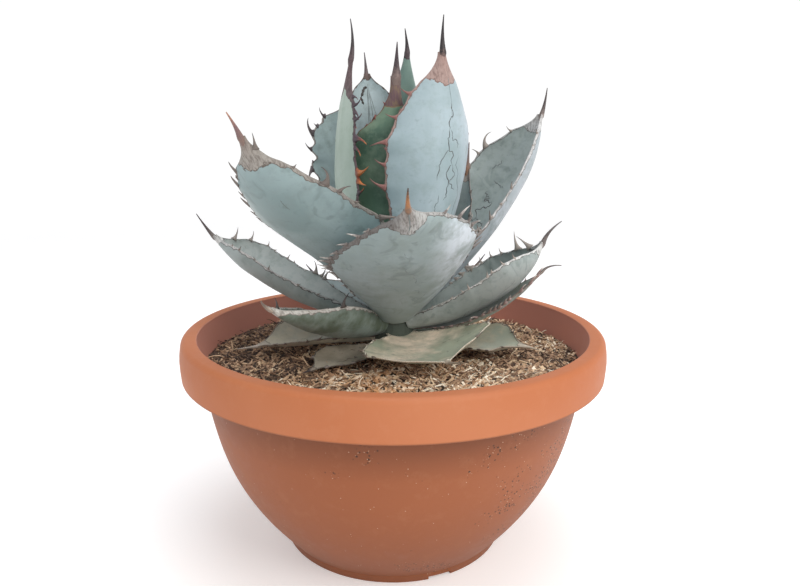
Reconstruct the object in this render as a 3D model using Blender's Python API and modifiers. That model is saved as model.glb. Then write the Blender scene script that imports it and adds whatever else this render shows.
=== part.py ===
"""Potted agave: a bowl planter filled with soil, holding a rosette of thick spiny leaves.

Frame: metres, +Z up, origin on the pot's axis at the bottom of its foot ring, -Y is the front.
"""
import math

import bmesh
import bpy
from mathutils import Matrix, Vector

# Driving dimensions of the pot and soil, in metres
POT_RADIUS = 0.200
POT_HEIGHT = 0.207
RIM_INNER_RADIUS = 0.184
BAND_HEIGHT = 0.0343
BOWL_TOP_RADIUS = 0.182
BOWL_TOP_HEIGHT = 0.176
BOWL_UPPER_PULL = (0.1704, 0.116)
BOWL_LOWER_PULL = (0.1678, 0.0745)
WALL = 0.004
FOOT_RADIUS = 0.107
FOOT_WIDTH = 0.007
FOOT_RECESS = 0.004
SHOULDER_RADIUS = 0.1122
SHOULDER_HEIGHT = 0.0121
NOTCH_WIDTH = 0.022
NOTCH_DEPTH = 0.020
NOTCH_HEIGHT = 0.0035
NOTCH_COUNT = 3
NOTCH_BEARING = -67.0
SOIL_EDGE_HEIGHT = 0.1805
SOIL_MOUND_HEIGHT = 0.1835
SOIL_MOUND_RADIUS = 0.120
GAP = 0.0003
ROUND_STEPS = 72

# The plant stands a little behind the pot's axis, and its stem narrows twice between the leaves
PLANT = Vector((0.0, 0.015, 0.0))
STEM_ROOT_HEIGHT = 0.170
STEM_RADIUS = 0.0215
STEM_SHOULDER_HEIGHT = 0.2185
STEM_NECK_RADIUS = 0.0130
STEM_NECK_HEIGHT = 0.2465
STEM_TIP_RADIUS = 0.005
STEM_TIP_HEIGHT = 0.2515
STEM_STEPS = 24

# Leaf sections: points across each face, and rings along the blade
FACE_POINTS = (-1.0, -0.55, 0.0, 0.55, 1.0)
BLADE_RINGS = 12
TIP_SHAPE = 1.65
BLADE_END_HALF_WIDTH = 0.0035
SPINE_RINGS = ((0.35, 0.75), (0.70, 0.40))

# One leaf is a blade that leaves the stem at a bearing and curves from its first rise to its
# last. Angles are in degrees and lengths in millimetres. Successive leaves turn by roughly the
# golden angle, and the bearing is measured from +X towards +Y.
LEAF_USUAL = dict(
    start=24, height=200, rise=0, end_rise=40, sag=0, swing=0, roll=0, twist=0,
    length=140, width=80, base=0.45, widest=0.55, cup=0.6, thick=10,
    spine=30, spine_lift=0, spine_swing=0, look="mature",
)
LEAVES = {
    "leaf_front_middle": dict(
        bearing=-81, start=26, height=224, rise=32, end_rise=39, swing=-14, roll=4, twist=14,
        length=191, width=124, base=0.4, cup=0.5, thick=11, spine=34, spine_lift=-10,
    ),
    "leaf_left_middle": dict(
        bearing=-123, height=237, rise=48, end_rise=64, sag=22, swing=-4, roll=2, twist=12,
        length=226, width=116, base=0.5, widest=0.5, cup=0.45, thick=9,
        spine=20, spine_lift=-5, spine_swing=-5,
    ),
    "leaf_right_tall": dict(
        bearing=-40, height=244, rise=68, end_rise=96, swing=6, roll=-4, twist=-20,
        length=218, width=104, base=0.3, widest=0.6, cup=0.7, thick=12,
        spine=30, spine_lift=-10,
    ),
    "leaf_left_tall": dict(
        bearing=-167, start=23, height=244, rise=64, end_rise=102, sag=-4, twist=12,
        length=216, width=74, base=0.4, widest=0.45, cup=0.2, thick=7,
        spine=38, spine_lift=-5, spine_swing=-20,
    ),
    "leaf_left_back": dict(
        bearing=123, height=233, rise=56, end_rise=84, swing=-4, roll=-4,
        length=206, width=90, base=0.4, widest=0.7, cup=0.55,
        spine=34, spine_lift=5, spine_swing=-5,
    ),
    "leaf_back_tall": dict(
        bearing=124, start=18, height=250, rise=80, end_rise=80, swing=-14, roll=2,
        length=200, width=74, widest=0.75, cup=0.8, thick=14, spine=22, spine_lift=-5,
        look="young",
    ),
    "leaf_heart_front": dict(
        bearing=-85, start=16, height=251, rise=88, end_rise=86, sag=4, swing=2, roll=2, twist=2,
        length=188, width=92, cup=0.85, thick=8, spine=28, spine_lift=-5, look="young",
    ),
    "leaf_heart_spear": dict(
        bearing=-12, start=13, height=256, rise=88, end_rise=92, swing=-22, roll=-22, twist=-16,
        length=206, width=80, widest=0.65, cup=2.4, thick=6,
        spine=20, spine_lift=-15, spine_swing=-10, look="young",
    ),
    "leaf_right_middle": dict(
        bearing=15, height=228, rise=42, end_rise=72, sag=4, swing=2, roll=10,
        length=224, width=100, base=0.3, widest=0.7, cup=1.05, thick=11,
        spine=28, spine_swing=10,
    ),
    "leaf_right_low": dict(
        bearing=-8, height=209, rise=10, end_rise=72, sag=12, swing=16, roll=2, twist=-12,
        length=152, width=112, base=0.4, widest=0.65, cup=1.15, thick=7,
        spine=28, spine_lift=-25, spine_swing=15,
    ),
    "leaf_right_lower": dict(
        bearing=-5, height=201, rise=0, end_rise=52, swing=2, roll=4, twist=-8,
        length=140, width=56, base=0.3, widest=0.6, cup=0.5, thick=4,
        spine=18, spine_lift=-35, look="old",
    ),
    "leaf_left_low": dict(
        bearing=174, height=211, rise=16, end_rise=48, sag=8, swing=-2, roll=-2, twist=6,
        length=178, width=82, base=0.25, widest=0.75, cup=1.0, thick=10,
        spine=28, spine_lift=5,
    ),
    "leaf_left_bottom": dict(
        bearing=-136, start=23, height=206, rise=-2, end_rise=36, swing=2, roll=22, twist=-20,
        length=132, width=74, base=0.36, widest=0.45, cup=1.2, thick=9,
        spine=22, spine_swing=30, look="old",
    ),
    "leaf_left_soil": dict(
        bearing=-166, start=25, height=195, rise=3, end_rise=-6, swing=2, roll=-8, twist=2,
        length=108, width=62, base=0.25, widest=0.7, cup=0.7, thick=6,
        spine=20, spine_lift=5, spine_swing=5, look="dry",
    ),
    "leaf_front_left_soil": dict(
        bearing=-130, height=188, rise=0, end_rise=-2,
        length=88, width=56, base=0.25, cup=0.25, thick=4, spine=10, look="dry",
    ),
    "leaf_front_soil": dict(
        bearing=-65, height=197, rise=-1, end_rise=4, swing=-4, twist=12,
        length=92, width=126, base=0.25, widest=0.65, cup=0.45, thick=6,
        spine=14, spine_lift=5, spine_swing=30, look="dry",
    ),
    "leaf_right_soil": dict(
        bearing=-17, height=191, rise=3, end_rise=2, swing=-10, roll=4, twist=6,
        length=108, width=68, base=0.3, widest=0.7, cup=0.45, thick=7,
        spine=14, spine_swing=-15, look="old",
    ),
    "leaf_back_right_low": dict(
        bearing=54, height=198, rise=4, end_rise=28, roll=-8,
        length=144, width=70, cup=0.15, thick=8,
    ),
    "leaf_back_low": dict(
        bearing=63, height=207, sag=-8, roll=-8,
        length=160, width=84, base=0.3, cup=0.35, thick=8,
    ),
    "leaf_back_left_low": dict(bearing=124, height=198, rise=2, end_rise=22),
    "leaf_back_right": dict(
        bearing=12, start=16, height=230, rise=44, end_rise=86, swing=10, roll=18, twist=26,
        length=142, width=44, cup=0.8, thick=6, spine=32, spine_lift=-35, spine_swing=10,
    ),
    "leaf_back_middle": dict(
        bearing=102, height=218, rise=32, end_rise=62,
        length=180, width=100, cup=0.8, thick=14,
    ),
}

# Colour in linear light, roughness
POT_FINISH = ((0.62, 0.20, 0.08), 0.55)
SOIL_FINISH = ((0.10, 0.065, 0.04), 0.95)
STEM_FINISH = ((0.30, 0.28, 0.18), 0.80)
LEAF_FINISHES = {
    "young": ((0.20, 0.34, 0.30), 0.50),
    "mature": ((0.36, 0.46, 0.48), 0.55),
    "old": ((0.24, 0.29, 0.25), 0.65),
    "dry": ((0.33, 0.31, 0.24), 0.75),
}


def clear_scene():
    for item in list(bpy.data.objects):
        bpy.data.objects.remove(item, do_unlink=True)


def new_collection(name):
    collection = bpy.data.collections.new(name)
    bpy.context.scene.collection.children.link(collection)
    return collection


def new_material(name, finish):
    colour, roughness = finish
    material = bpy.data.materials.new(name)
    material.use_nodes = True
    shader = material.node_tree.nodes["Principled BSDF"]
    shader.inputs["Base Color"].default_value = (*colour, 1.0)
    shader.inputs["Roughness"].default_value = roughness
    shader.inputs["Metallic"].default_value = 0.0
    return material


def add_part(name, mesh, collection, finish):
    part = bpy.data.objects.new(name, mesh)
    collection.objects.link(part)
    mesh.materials.append(new_material(name, finish))
    return part


def add_turned_part(name, profile, steps, collection, finish):
    """Turn a (radius, height) profile, which starts and ends on the axis, round the Z axis."""
    mesh = bpy.data.meshes.new(name)
    edges = [(i, i + 1) for i in range(len(profile) - 1)]
    mesh.from_pydata([(radius, 0.0, height) for radius, height in profile], edges, [])
    part = add_part(name, mesh, collection, finish)
    screw = part.modifiers.new("Turn", "SCREW")
    screw.steps = steps
    screw.render_steps = steps
    screw.use_merge_vertices = True
    screw.merge_threshold = 0.00001
    screw.use_smooth_shade = True
    return part


def add_cutter(name, build_shape, placement, cutters):
    shape = bmesh.new()
    build_shape(shape)
    shape.transform(placement)
    mesh = bpy.data.meshes.new(name)
    shape.to_mesh(mesh)
    shape.free()
    cutter = bpy.data.objects.new(name, mesh)
    cutters.objects.link(cutter)
    cutter.hide_render = True
    cutter.display_type = "WIRE"
    return cutter


def cut(part, cutter):
    boolean = part.modifiers.new(cutter.name, "BOOLEAN")
    boolean.operation = "DIFFERENCE"
    boolean.object = cutter
    boolean.solver = "EXACT"


def rounded_corner(centre, radius, first, last, steps):
    """Arc points of a profile; the angles, in degrees, turn from the radius towards the height."""
    points = []
    for i in range(steps + 1):
        angle = math.radians(first + (last - first) * i / steps)
        points.append((centre[0] + radius * math.cos(angle), centre[1] + radius * math.sin(angle)))
    return points


def bowl_wall(inset, steps=10):
    """The bowl from under its band down to the shoulder of its foot, moved inwards by inset."""
    top = Vector((BOWL_TOP_RADIUS, BOWL_TOP_HEIGHT))
    upper = Vector(BOWL_UPPER_PULL)
    lower = Vector(BOWL_LOWER_PULL)
    end = Vector((SHOULDER_RADIUS, SHOULDER_HEIGHT))
    points = []
    for i in range(steps + 1):
        s = i / steps
        k = 1.0 - s
        place = k**3 * top + 3 * k * k * s * upper + 3 * k * s * s * lower + s**3 * end
        down = k * k * (upper - top) + 2 * k * s * (lower - upper) + s * s * (end - lower)
        inward = Vector((down.y, -down.x)).normalized()
        points.append(tuple(place + inset * inward))
    return points


def wall_radius(height):
    """Radius of the pot's inside between its rim and the top of the bowl."""
    low_radius, low_height = bowl_wall(WALL)[0]
    share = (height - low_height) / (POT_HEIGHT - low_height)
    return low_radius + share * (RIM_INNER_RADIUS - low_radius)


def make_pot(parts, cutters):
    floor = FOOT_RECESS + WALL
    band_bottom = POT_HEIGHT - BAND_HEIGHT
    inside = [(0.0, floor), (FOOT_RADIUS - WALL, floor)] + bowl_wall(WALL)[::-1]
    rim = [(wall_radius(POT_HEIGHT - 0.001), POT_HEIGHT - 0.001), (RIM_INNER_RADIUS + 0.001, POT_HEIGHT)]
    rim += rounded_corner((POT_RADIUS - 0.0075, POT_HEIGHT - 0.006), 0.006, 90, 8, 5)
    band = [
        (POT_RADIUS - 0.0004, POT_HEIGHT - 0.012),
        (POT_RADIUS, POT_HEIGHT - 0.019),
        (POT_RADIUS - 0.0014, band_bottom + 0.001),
        (POT_RADIUS - 0.0024, band_bottom),
    ]
    foot = [
        (FOOT_RADIUS + 0.0015, 0.0085),
        (FOOT_RADIUS, 0.0),
        (FOOT_RADIUS - FOOT_WIDTH, 0.0),
        (FOOT_RADIUS - FOOT_WIDTH - 0.001, FOOT_RECESS),
        (0.0, FOOT_RECESS),
    ]
    profile = inside + rim + band + bowl_wall(0.0) + foot
    pot = add_turned_part("pot", profile, ROUND_STEPS, parts, POT_FINISH)
    for i in range(NOTCH_COUNT):
        turn = Matrix.Rotation(math.radians(NOTCH_BEARING + 360.0 * i / NOTCH_COUNT), 4, "Z")
        move = Matrix.Translation((FOOT_RADIUS - 0.5 * FOOT_WIDTH, 0.0, 0.0))
        size = Matrix.Diagonal((NOTCH_DEPTH, NOTCH_WIDTH, 2.0 * NOTCH_HEIGHT, 1.0))
        name = "notch_cutter_%d" % (i + 1)
        cut(pot, add_cutter(name, bmesh.ops.create_cube, turn @ move @ size, cutters))


def make_soil(parts, cutters):
    """Soil fills the bowl, rises in a low mound and has a socket for the stem."""
    floor = FOOT_RECESS + WALL + GAP
    top = [(0.0, SOIL_MOUND_HEIGHT)]
    for i in range(1, 5):
        share = i / 4
        fall = math.sin(0.5 * math.pi * share) ** 2
        radius = SOIL_MOUND_RADIUS * (0.35 + 0.65 * share)
        top.append((radius, SOIL_MOUND_HEIGHT - fall * (SOIL_MOUND_HEIGHT - SOIL_EDGE_HEIGHT)))
    top.append((wall_radius(SOIL_EDGE_HEIGHT) - GAP, SOIL_EDGE_HEIGHT))
    profile = top + bowl_wall(WALL + GAP) + [(FOOT_RADIUS - WALL - GAP, floor), (0.0, floor)]
    soil = add_turned_part("soil", profile, ROUND_STEPS, parts, SOIL_FINISH)

    def socket_rod(shape):
        radius = STEM_RADIUS + GAP
        bmesh.ops.create_cone(
            shape, cap_ends=True, segments=STEM_STEPS, radius1=radius, radius2=radius, depth=0.1
        )

    bottom = STEM_ROOT_HEIGHT - GAP
    placement = Matrix.Translation(PLANT + Vector((0.0, 0.0, bottom + 0.05)))
    cut(soil, add_cutter("stem_socket_cutter", socket_rod, placement, cutters))


def make_stem(parts):
    profile = [
        (0.0, STEM_TIP_HEIGHT + 0.0015),
        (STEM_TIP_RADIUS, STEM_TIP_HEIGHT),
        (STEM_NECK_RADIUS, STEM_NECK_HEIGHT),
        (STEM_NECK_RADIUS, STEM_SHOULDER_HEIGHT + 0.0100),
        (STEM_RADIUS, STEM_SHOULDER_HEIGHT),
        (STEM_RADIUS, STEM_ROOT_HEIGHT),
        (0.0, STEM_ROOT_HEIGHT),
    ]
    stem = add_turned_part("stem", profile, STEM_STEPS, parts, STEM_FINISH)
    stem.location = PLANT


def leaf_settings(changes):
    """A leaf's settings in metres and radians."""
    leaf = dict(LEAF_USUAL)
    leaf.update(changes)
    for name in ("start", "height", "length", "width", "thick", "spine"):
        leaf[name] = 0.001 * leaf[name]
    for name in ("bearing", "rise", "end_rise", "sag", "swing", "roll", "twist", "spine_lift", "spine_swing"):
        leaf[name] = math.radians(leaf[name])
    return leaf


def blade_direction(leaf, t):
    climb = leaf["rise"] + (leaf["end_rise"] - leaf["rise"]) * t - 4.0 * leaf["sag"] * t * (1.0 - t)
    heading = leaf["bearing"] + leaf["swing"] * t
    return Vector((
        math.cos(climb) * math.cos(heading),
        math.cos(climb) * math.sin(heading),
        math.sin(climb),
    )), heading


def blade_axes(leaf, t):
    """Directions along the blade, to its left edge and out of its upper face."""
    along, heading = blade_direction(leaf, t)
    side = Vector((-math.sin(heading), math.cos(heading), 0.0))
    up = along.cross(side)
    lean = leaf["roll"] + leaf["twist"] * t
    left = side * math.cos(lean) + up * math.sin(lean)
    upper = up * math.cos(lean) - side * math.sin(lean)
    return along, left, upper


def half_width(leaf, t):
    """The blade swells from its base to its widest place and then closes in a pointed arch."""
    if t < leaf["widest"]:
        share = math.sin(0.5 * math.pi * t / leaf["widest"])
        share = leaf["base"] + (1.0 - leaf["base"]) * share
    else:
        share = 1.0 - ((t - leaf["widest"]) / (1.0 - leaf["widest"])) ** TIP_SHAPE
    return max(0.5 * leaf["width"] * share, BLADE_END_HALF_WIDTH)


def blade_ring(leaf, t, middle):
    """One cross section: a cupped upper face, and an underside that thins towards the margins."""
    along, left, upper = blade_axes(leaf, t)
    half = half_width(leaf, t)
    cup = leaf["cup"]
    thick = leaf["thick"] * (1.0 - 0.75 * t**1.3)
    face = []
    underside = []
    for u in FACE_POINTS:
        across = half * math.sin(cup * u) / cup
        lift = half * (1.0 - math.cos(cup * u)) / cup
        point = middle + across * left + lift * upper
        outward = math.cos(cup * u) * upper - math.sin(cup * u) * left
        face.append(point)
        underside.append(point - thick * (1.0 - 0.88 * abs(u) ** 2.2) * outward)
    return face + underside[::-1]


def centre_of(points):
    return sum(points, Vector()) / len(points)


def leaf_rings(leaf):
    """Sections from the base of the blade into its end spine, and the spine's point."""
    bearing = leaf["bearing"]
    middle = PLANT + Vector((
        leaf["start"] * math.cos(bearing),
        leaf["start"] * math.sin(bearing),
        leaf["height"],
    ))
    rings = [blade_ring(leaf, 0.0, middle)]
    for i in range(BLADE_RINGS):
        along = blade_direction(leaf, (i + 0.5) / BLADE_RINGS)[0]
        middle = middle + along * leaf["length"] / BLADE_RINGS
        rings.append(blade_ring(leaf, (i + 1) / BLADE_RINGS, middle))
    along, left, upper = blade_axes(leaf, 1.0)
    point = along * math.cos(leaf["spine_lift"]) + upper * math.sin(leaf["spine_lift"])
    point = point * math.cos(leaf["spine_swing"]) + left * math.sin(leaf["spine_swing"])
    last = rings[-1]
    centre = centre_of(last)
    for share, size in SPINE_RINGS:
        rings.append([centre + leaf["spine"] * share * point + size * (p - centre) for p in last])
    return rings, centre + leaf["spine"] * point


def make_leaf(name, changes, parts):
    """Loft the sections into one closed body: base cap, blade and end spine."""
    leaf = leaf_settings(changes)
    rings, tip = leaf_rings(leaf)
    shape = bmesh.new()
    loops = [[shape.verts.new(point) for point in ring] for ring in rings]
    base = shape.verts.new(centre_of(rings[0]))
    point = shape.verts.new(tip)
    count = len(loops[0])
    for j in range(count):
        k = (j + 1) % count
        shape.faces.new((base, loops[0][k], loops[0][j]))
        shape.faces.new((loops[-1][j], loops[-1][k], point))
        for near, far in zip(loops, loops[1:]):
            shape.faces.new((near[j], near[k], far[k]))
            shape.faces.new((near[j], far[k], far[j]))
    bmesh.ops.recalc_face_normals(shape, faces=shape.faces)
    mesh = bpy.data.meshes.new(name)
    shape.to_mesh(mesh)
    shape.free()
    mesh.shade_smooth()
    mesh.set_sharp_from_angle(angle=math.radians(50))
    add_part(name, mesh, parts, LEAF_FINISHES[leaf["look"]])


def main():
    clear_scene()
    parts = new_collection("potted_agave")
    cutters = new_collection("cutters")
    make_pot(parts, cutters)
    make_soil(parts, cutters)
    make_stem(parts)
    for name, changes in LEAVES.items():
        make_leaf(name, changes, parts)


main()
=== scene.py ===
import math

import bpy
import numpy as np
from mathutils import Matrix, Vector


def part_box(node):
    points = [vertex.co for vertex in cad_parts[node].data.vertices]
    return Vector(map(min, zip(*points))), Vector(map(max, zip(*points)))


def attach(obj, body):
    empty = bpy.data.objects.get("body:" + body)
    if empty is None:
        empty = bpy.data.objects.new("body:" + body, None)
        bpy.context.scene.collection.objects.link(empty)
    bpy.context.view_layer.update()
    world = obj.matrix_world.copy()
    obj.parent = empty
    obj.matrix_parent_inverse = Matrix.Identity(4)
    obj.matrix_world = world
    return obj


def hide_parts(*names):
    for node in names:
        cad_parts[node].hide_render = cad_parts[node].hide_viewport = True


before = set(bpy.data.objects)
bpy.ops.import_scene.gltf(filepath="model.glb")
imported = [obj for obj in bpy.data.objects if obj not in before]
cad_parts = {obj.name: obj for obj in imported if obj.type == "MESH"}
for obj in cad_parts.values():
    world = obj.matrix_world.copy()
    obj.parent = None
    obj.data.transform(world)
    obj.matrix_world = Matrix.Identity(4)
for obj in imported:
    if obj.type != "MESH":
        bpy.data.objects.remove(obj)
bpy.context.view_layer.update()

# Potted agave. Metres, +Z up, origin on the pot's axis at the foot ring, -Y is the front.

scene = bpy.context.scene
mm = 0.001


def toLinear(hexValue, alpha=1.0):
    values = [int(hexValue[i:i + 2], 16) / 255 for i in (1, 3, 5)]
    return (*[v / 12.92 if v <= 0.04045 else ((v + 0.055) / 1.055) ** 2.4 for v in values], alpha)


def addNode(tree, kind, sockets=None, **settings):
    node = tree.nodes.new(kind)
    for name, value in settings.items():
        setattr(node, name, value)
    for socket, value in (sockets or {}).items():
        if isinstance(value, bpy.types.NodeSocket):
            tree.links.new(value, node.inputs[socket])
        else:
            node.inputs[socket].default_value = value
    return node


def layTint(tree, under, field, begin, full, most, tint):
    # lays a tint over a colour: none of it where the field is at begin, most of it at full
    share = addNode(tree, "ShaderNodeMapRange", {0: field, 1: begin, 2: full, 4: most}).outputs[0]
    mixed = addNode(tree, "ShaderNodeMix", {0: share, 6: under, 7: toLinear(tint)}, data_type="RGBA")
    return mixed.outputs[2]


def newMaterial(name, settings=None):
    material = bpy.data.materials.new(name)
    material.use_nodes = True
    shader = material.node_tree.nodes["Principled BSDF"]
    for socket, value in (settings or {}).items():
        shader.inputs[socket].default_value = value
    return material, material.node_tree, shader


def addObject(name, mesh):
    item = bpy.data.objects.new(name, mesh)
    scene.collection.objects.link(item)
    return item


def addMesh(name, points, faces, edges=(), unit=mm):
    mesh = bpy.data.meshes.new(name)
    mesh.from_pydata([(x * unit, y * unit, z * unit) for x, y, z in points], edges, faces)
    return addObject(name, mesh)


def storeValues(mesh, name, values, kind="FLOAT"):
    stored = mesh.attributes.new(name, kind, "POINT").data
    values = np.asarray(values, np.float32).reshape(-1)
    stored.foreach_set("vector" if kind == "FLOAT_VECTOR" else "value", values)


def openGroup(name, settings):
    # a Geometry Nodes tree that takes a geometry and the named settings
    tree = bpy.data.node_groups.new(name, "GeometryNodeTree")
    for socket, kind in (("Geometry", "Geometry"), *settings):
        tree.interface.new_socket(socket, in_out="INPUT", socket_type="NodeSocket" + kind)
    tree.interface.new_socket("Geometry", in_out="OUTPUT", socket_type="NodeSocketGeometry")
    return tree, addNode(tree, "NodeGroupInput").outputs


def closeGroup(tree, geometry, material):
    solid = addNode(tree, "GeometryNodeRealizeInstances", {"Geometry": geometry}).outputs[0]
    painted = addNode(tree, "GeometryNodeSetMaterial", {"Geometry": solid, "Material": material})
    addNode(tree, "NodeGroupOutput", {"Geometry": painted.outputs[0]})
    return tree


def setInputs(modifier, tree, values):
    modifier.node_group = tree
    for item in tree.interface.items_tree:
        if item.item_type == "SOCKET" and item.in_out == "INPUT" and item.name in values:
            modifier[item.identifier] = values[item.name]


def bakeToMesh(item, name):
    # the evaluated shape as a plain mesh, on a new object without modifiers
    depsgraph = bpy.context.evaluated_depsgraph_get()
    mesh = bpy.data.meshes.new_from_object(item.evaluated_get(depsgraph), depsgraph=depsgraph)
    mesh.name = name
    bpy.data.objects.remove(item)
    return addObject(name, mesh)


def joinFrame(piece, node):
    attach(piece, "root")
    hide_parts(node)


# camera, light, floor and backdrop

viewSet = dict(back=0.640, height=0.378, down=12.25, lens=30.6, shiftX=0.00875)
camera = bpy.data.cameras.new("camera")
camera.sensor_width = 36.0
camera.lens = viewSet["lens"]
camera.shift_x = viewSet["shiftX"]
camera.clip_start = 0.01
cameraObject = addObject("camera", camera)
cameraObject.location = (0.0, -viewSet["back"], viewSet["height"])
cameraObject.rotation_euler = (math.radians(90.0 - viewSet["down"]), 0.0, 0.0)
scene.camera = cameraObject

lightSet = dict(
    key=dict(place=(1.2, -1.2, 1.5), size=1.4, watts=22.0, colour="#FFFAF4"),
    overhead=dict(place=(0.1, 0.1, 2.2), size=1.8, watts=21.0, colour="#FBFCFF"),
)
for name, values in lightSet.items():
    lamp = bpy.data.lights.new(name, "AREA")
    lamp.shape = "DISK"
    lamp.size = values["size"]
    lamp.energy = values["watts"]
    lamp.color = toLinear(values["colour"])[:3]
    lampObject = addObject(name, lamp)
    lampObject.location = values["place"]
    aim = Vector((0.0, 0.0, 0.22)) - Vector(values["place"])
    lampObject.rotation_euler = aim.to_track_quat("-Z", "Y").to_euler()

world = bpy.data.worlds.new("paleStudio")
world.use_nodes = True
world.node_tree.nodes["Background"].inputs["Color"].default_value = toLinear("#FBFCFF")
world.node_tree.nodes["Background"].inputs["Strength"].default_value = 0.5
scene.world = world
scene.view_settings.view_transform = "Standard"

floor = addMesh("floor", [(-9, -9, 0), (9, -9, 0), (9, 9, 0), (-9, 9, 0)], [(0, 1, 2, 3)], unit=1.0)
floorLook = {"Base Color": toLinear("#F2F2F2"), "Roughness": 0.9,
             "Emission Color": toLinear("#FFFFFF"), "Emission Strength": 0.3}
floor.data.materials.append(newMaterial("lightTableFloor", floorLook)[0])
# a round wall of white cloth, 8 m across
wallSet = dict(radius=4.0, height=1.9, sides=64, glow=1.0)
wallTurns = [2 * math.pi * i / wallSet["sides"] for i in range(wallSet["sides"])]
wallPlaces = [(wallSet["radius"] * math.cos(a), wallSet["radius"] * math.sin(a), z)
              for z in (-0.01, wallSet["height"]) for a in wallTurns]
wallFaces = []
for i in range(wallSet["sides"]):
    j = (i + 1) % wallSet["sides"]
    wallFaces.append((j, i, i + wallSet["sides"], j + wallSet["sides"]))
backdrop = addMesh("backdrop", wallPlaces, wallFaces, unit=1.0)
wallLook = {"Base Color": toLinear("#202020"), "Roughness": 1.0,
            "Emission Color": toLinear("#FFFFFF"), "Emission Strength": wallSet["glow"]}
backdrop.data.materials.append(newMaterial("litWhiteCloth", wallLook)[0])
print("stage: camera, floor, backdrop and light")

# the pot

potSet = dict(
    # millimetres; the bowl's pairs are (radius, height), and the notches are cut in the foot ring
    steps=160,
    rimInner=184.0, bandHeight=34.3, wall=4.0,
    bowlTop=(182.0, 176.0), upperPull=(170.4, 116.0), lowerPull=(167.8, 74.5), shoulder=(112.2, 12.1),
    footRadius=107.0, footWidth=7.0, recess=4.0,
    notches=3, notchBearing=-67.0, notchWidth=22.0, notchDepth=20.0, notchHeight=3.5,
    # the duller and the deep clay tones are painted shade on the bowl
    clay="#B46A42", clayPale="#BC754F", clayShaded="#8C4F2F", clayDeepShade="#4A2B1C", inside="#CB8D7F",
    dust="#D8A888", dirt="#3E2A20", grit="#D9C3A8",
    # metres from the axis or above the foot, where each change of tone begins and ends
    shadeBelowBand=(0.1745, 0.172), bandShadowRange=(0.13, 0.173), lowDown=(0.11, 0.02),
    insideRadius=(0.185, 0.1837), aboveBowl=(0.1765, 0.178), specksBelow=(0.1745, 0.17),
    # soil specks and grit: cells per metre, distance where a speck ends and is full, tint
    specks=((300.0, 0.32, 0.2, "dirt"), (420.0, 0.14, 0.09, "grit"), (150.0, 0.055, 0.035, "grit")),
)


def bowlWall(inset, steps=28):
    # radius and height down the bowl, in millimetres, moved inwards by inset
    names = ("bowlTop", "upperPull", "lowerPull", "shoulder")
    top, upper, lower, end = (np.array(potSet[name]) for name in names)
    points = []
    for s in np.linspace(0.0, 1.0, steps + 1):
        k = 1.0 - s
        place = k**3 * top + 3 * k * k * s * upper + 3 * k * s * s * lower + s**3 * end
        down = k * k * (upper - top) + 2 * k * s * (lower - upper) + s * s * (end - lower)
        inward = np.array((down[1], -down[0])) / np.hypot(*down)
        points.append(tuple(place + inset * inward))
    return points


def arc(centre, radius, first, last, steps):
    angles = np.radians(np.linspace(first, last, steps + 1))
    return [(centre[0] + radius * math.cos(a), centre[1] + radius * math.sin(a)) for a in angles]


def turnProfile(name, profile, steps):
    # profile in millimetres, from the axis to the axis, running down its outer side
    edges = [(i, i + 1) for i in range(len(profile) - 1)]
    item = addMesh(name, [(r, 0.0, z) for r, z in profile], [], edges)
    screw = item.modifiers.new("turn", "SCREW")
    screw.steps = screw.render_steps = steps
    screw.use_merge_vertices = True
    screw.merge_threshold = 0.00001
    screw.use_smooth_shade = True
    return item


def makePot():
    low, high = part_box("pot")
    radius = (high.x - low.x) / 2 / mm
    height = high.z / mm
    p = potSet
    under = height - p["bandHeight"]
    floorTop = p["recess"] + p["wall"]
    inside = [(0.0, floorTop), (p["footRadius"] - p["wall"] - 2.0, floorTop)]
    inside += arc((p["footRadius"] - p["wall"] - 2.0, floorTop + 3.0), 3.0, -90, -42, 3)
    inside += bowlWall(p["wall"])[::-1]
    rim = arc((p["rimInner"] + 1.2, height - 1.2), 1.2, 190, 95, 5)
    rim += arc((radius - 7.0, height - 5.6), 5.6, 92, 12, 10)
    band = [(radius - 0.8, height - 9.0), (radius - 0.3, height - 13.0), (radius, height - 18.0)]
    band += [(radius - 0.2, height - 24.0), (radius - 0.7, under + 4.0)]
    band += arc((radius - 2.1, under + 1.2), 1.2, 8, -85, 5)
    foot = arc((p["shoulder"][0] - 4.5, p["shoulder"][1] - 2.2), 2.2, -35, -60, 2)
    foot += [(p["footRadius"] + 1.3, 8.4), (p["footRadius"] + 0.5, 1.0), (p["footRadius"] - 0.5, 0.0)]
    foot += [(p["footRadius"] - p["footWidth"], 0.0), (p["footRadius"] - p["footWidth"] - 1.0, p["recess"])]
    foot += [(0.0, p["recess"])]
    pot = turnProfile("terracottaPot", inside + rim + band + bowlWall(0.0) + foot, p["steps"])
    cutters = []
    for i in range(p["notches"]):
        turn = math.radians(p["notchBearing"] + 360.0 * i / p["notches"])
        bpy.ops.mesh.primitive_cube_add(size=1.0, rotation=(0.0, 0.0, turn))
        cutter = bpy.context.object
        reach = (p["footRadius"] - p["footWidth"] / 2) * mm
        cutter.location = (reach * math.cos(turn), reach * math.sin(turn), 0.0)
        cutter.scale = (p["notchDepth"] * mm, p["notchWidth"] * mm, 2 * p["notchHeight"] * mm)
        notch = pot.modifiers.new("notch", "BOOLEAN")
        notch.object = cutter
        notch.solver = "EXACT"
        cutters.append(cutter)
    pot = bakeToMesh(pot, "terracottaPot")
    for cutter in cutters:
        bpy.data.objects.remove(cutter)
    pot.data.set_sharp_from_angle(angle=math.radians(50))
    return pot


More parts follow.
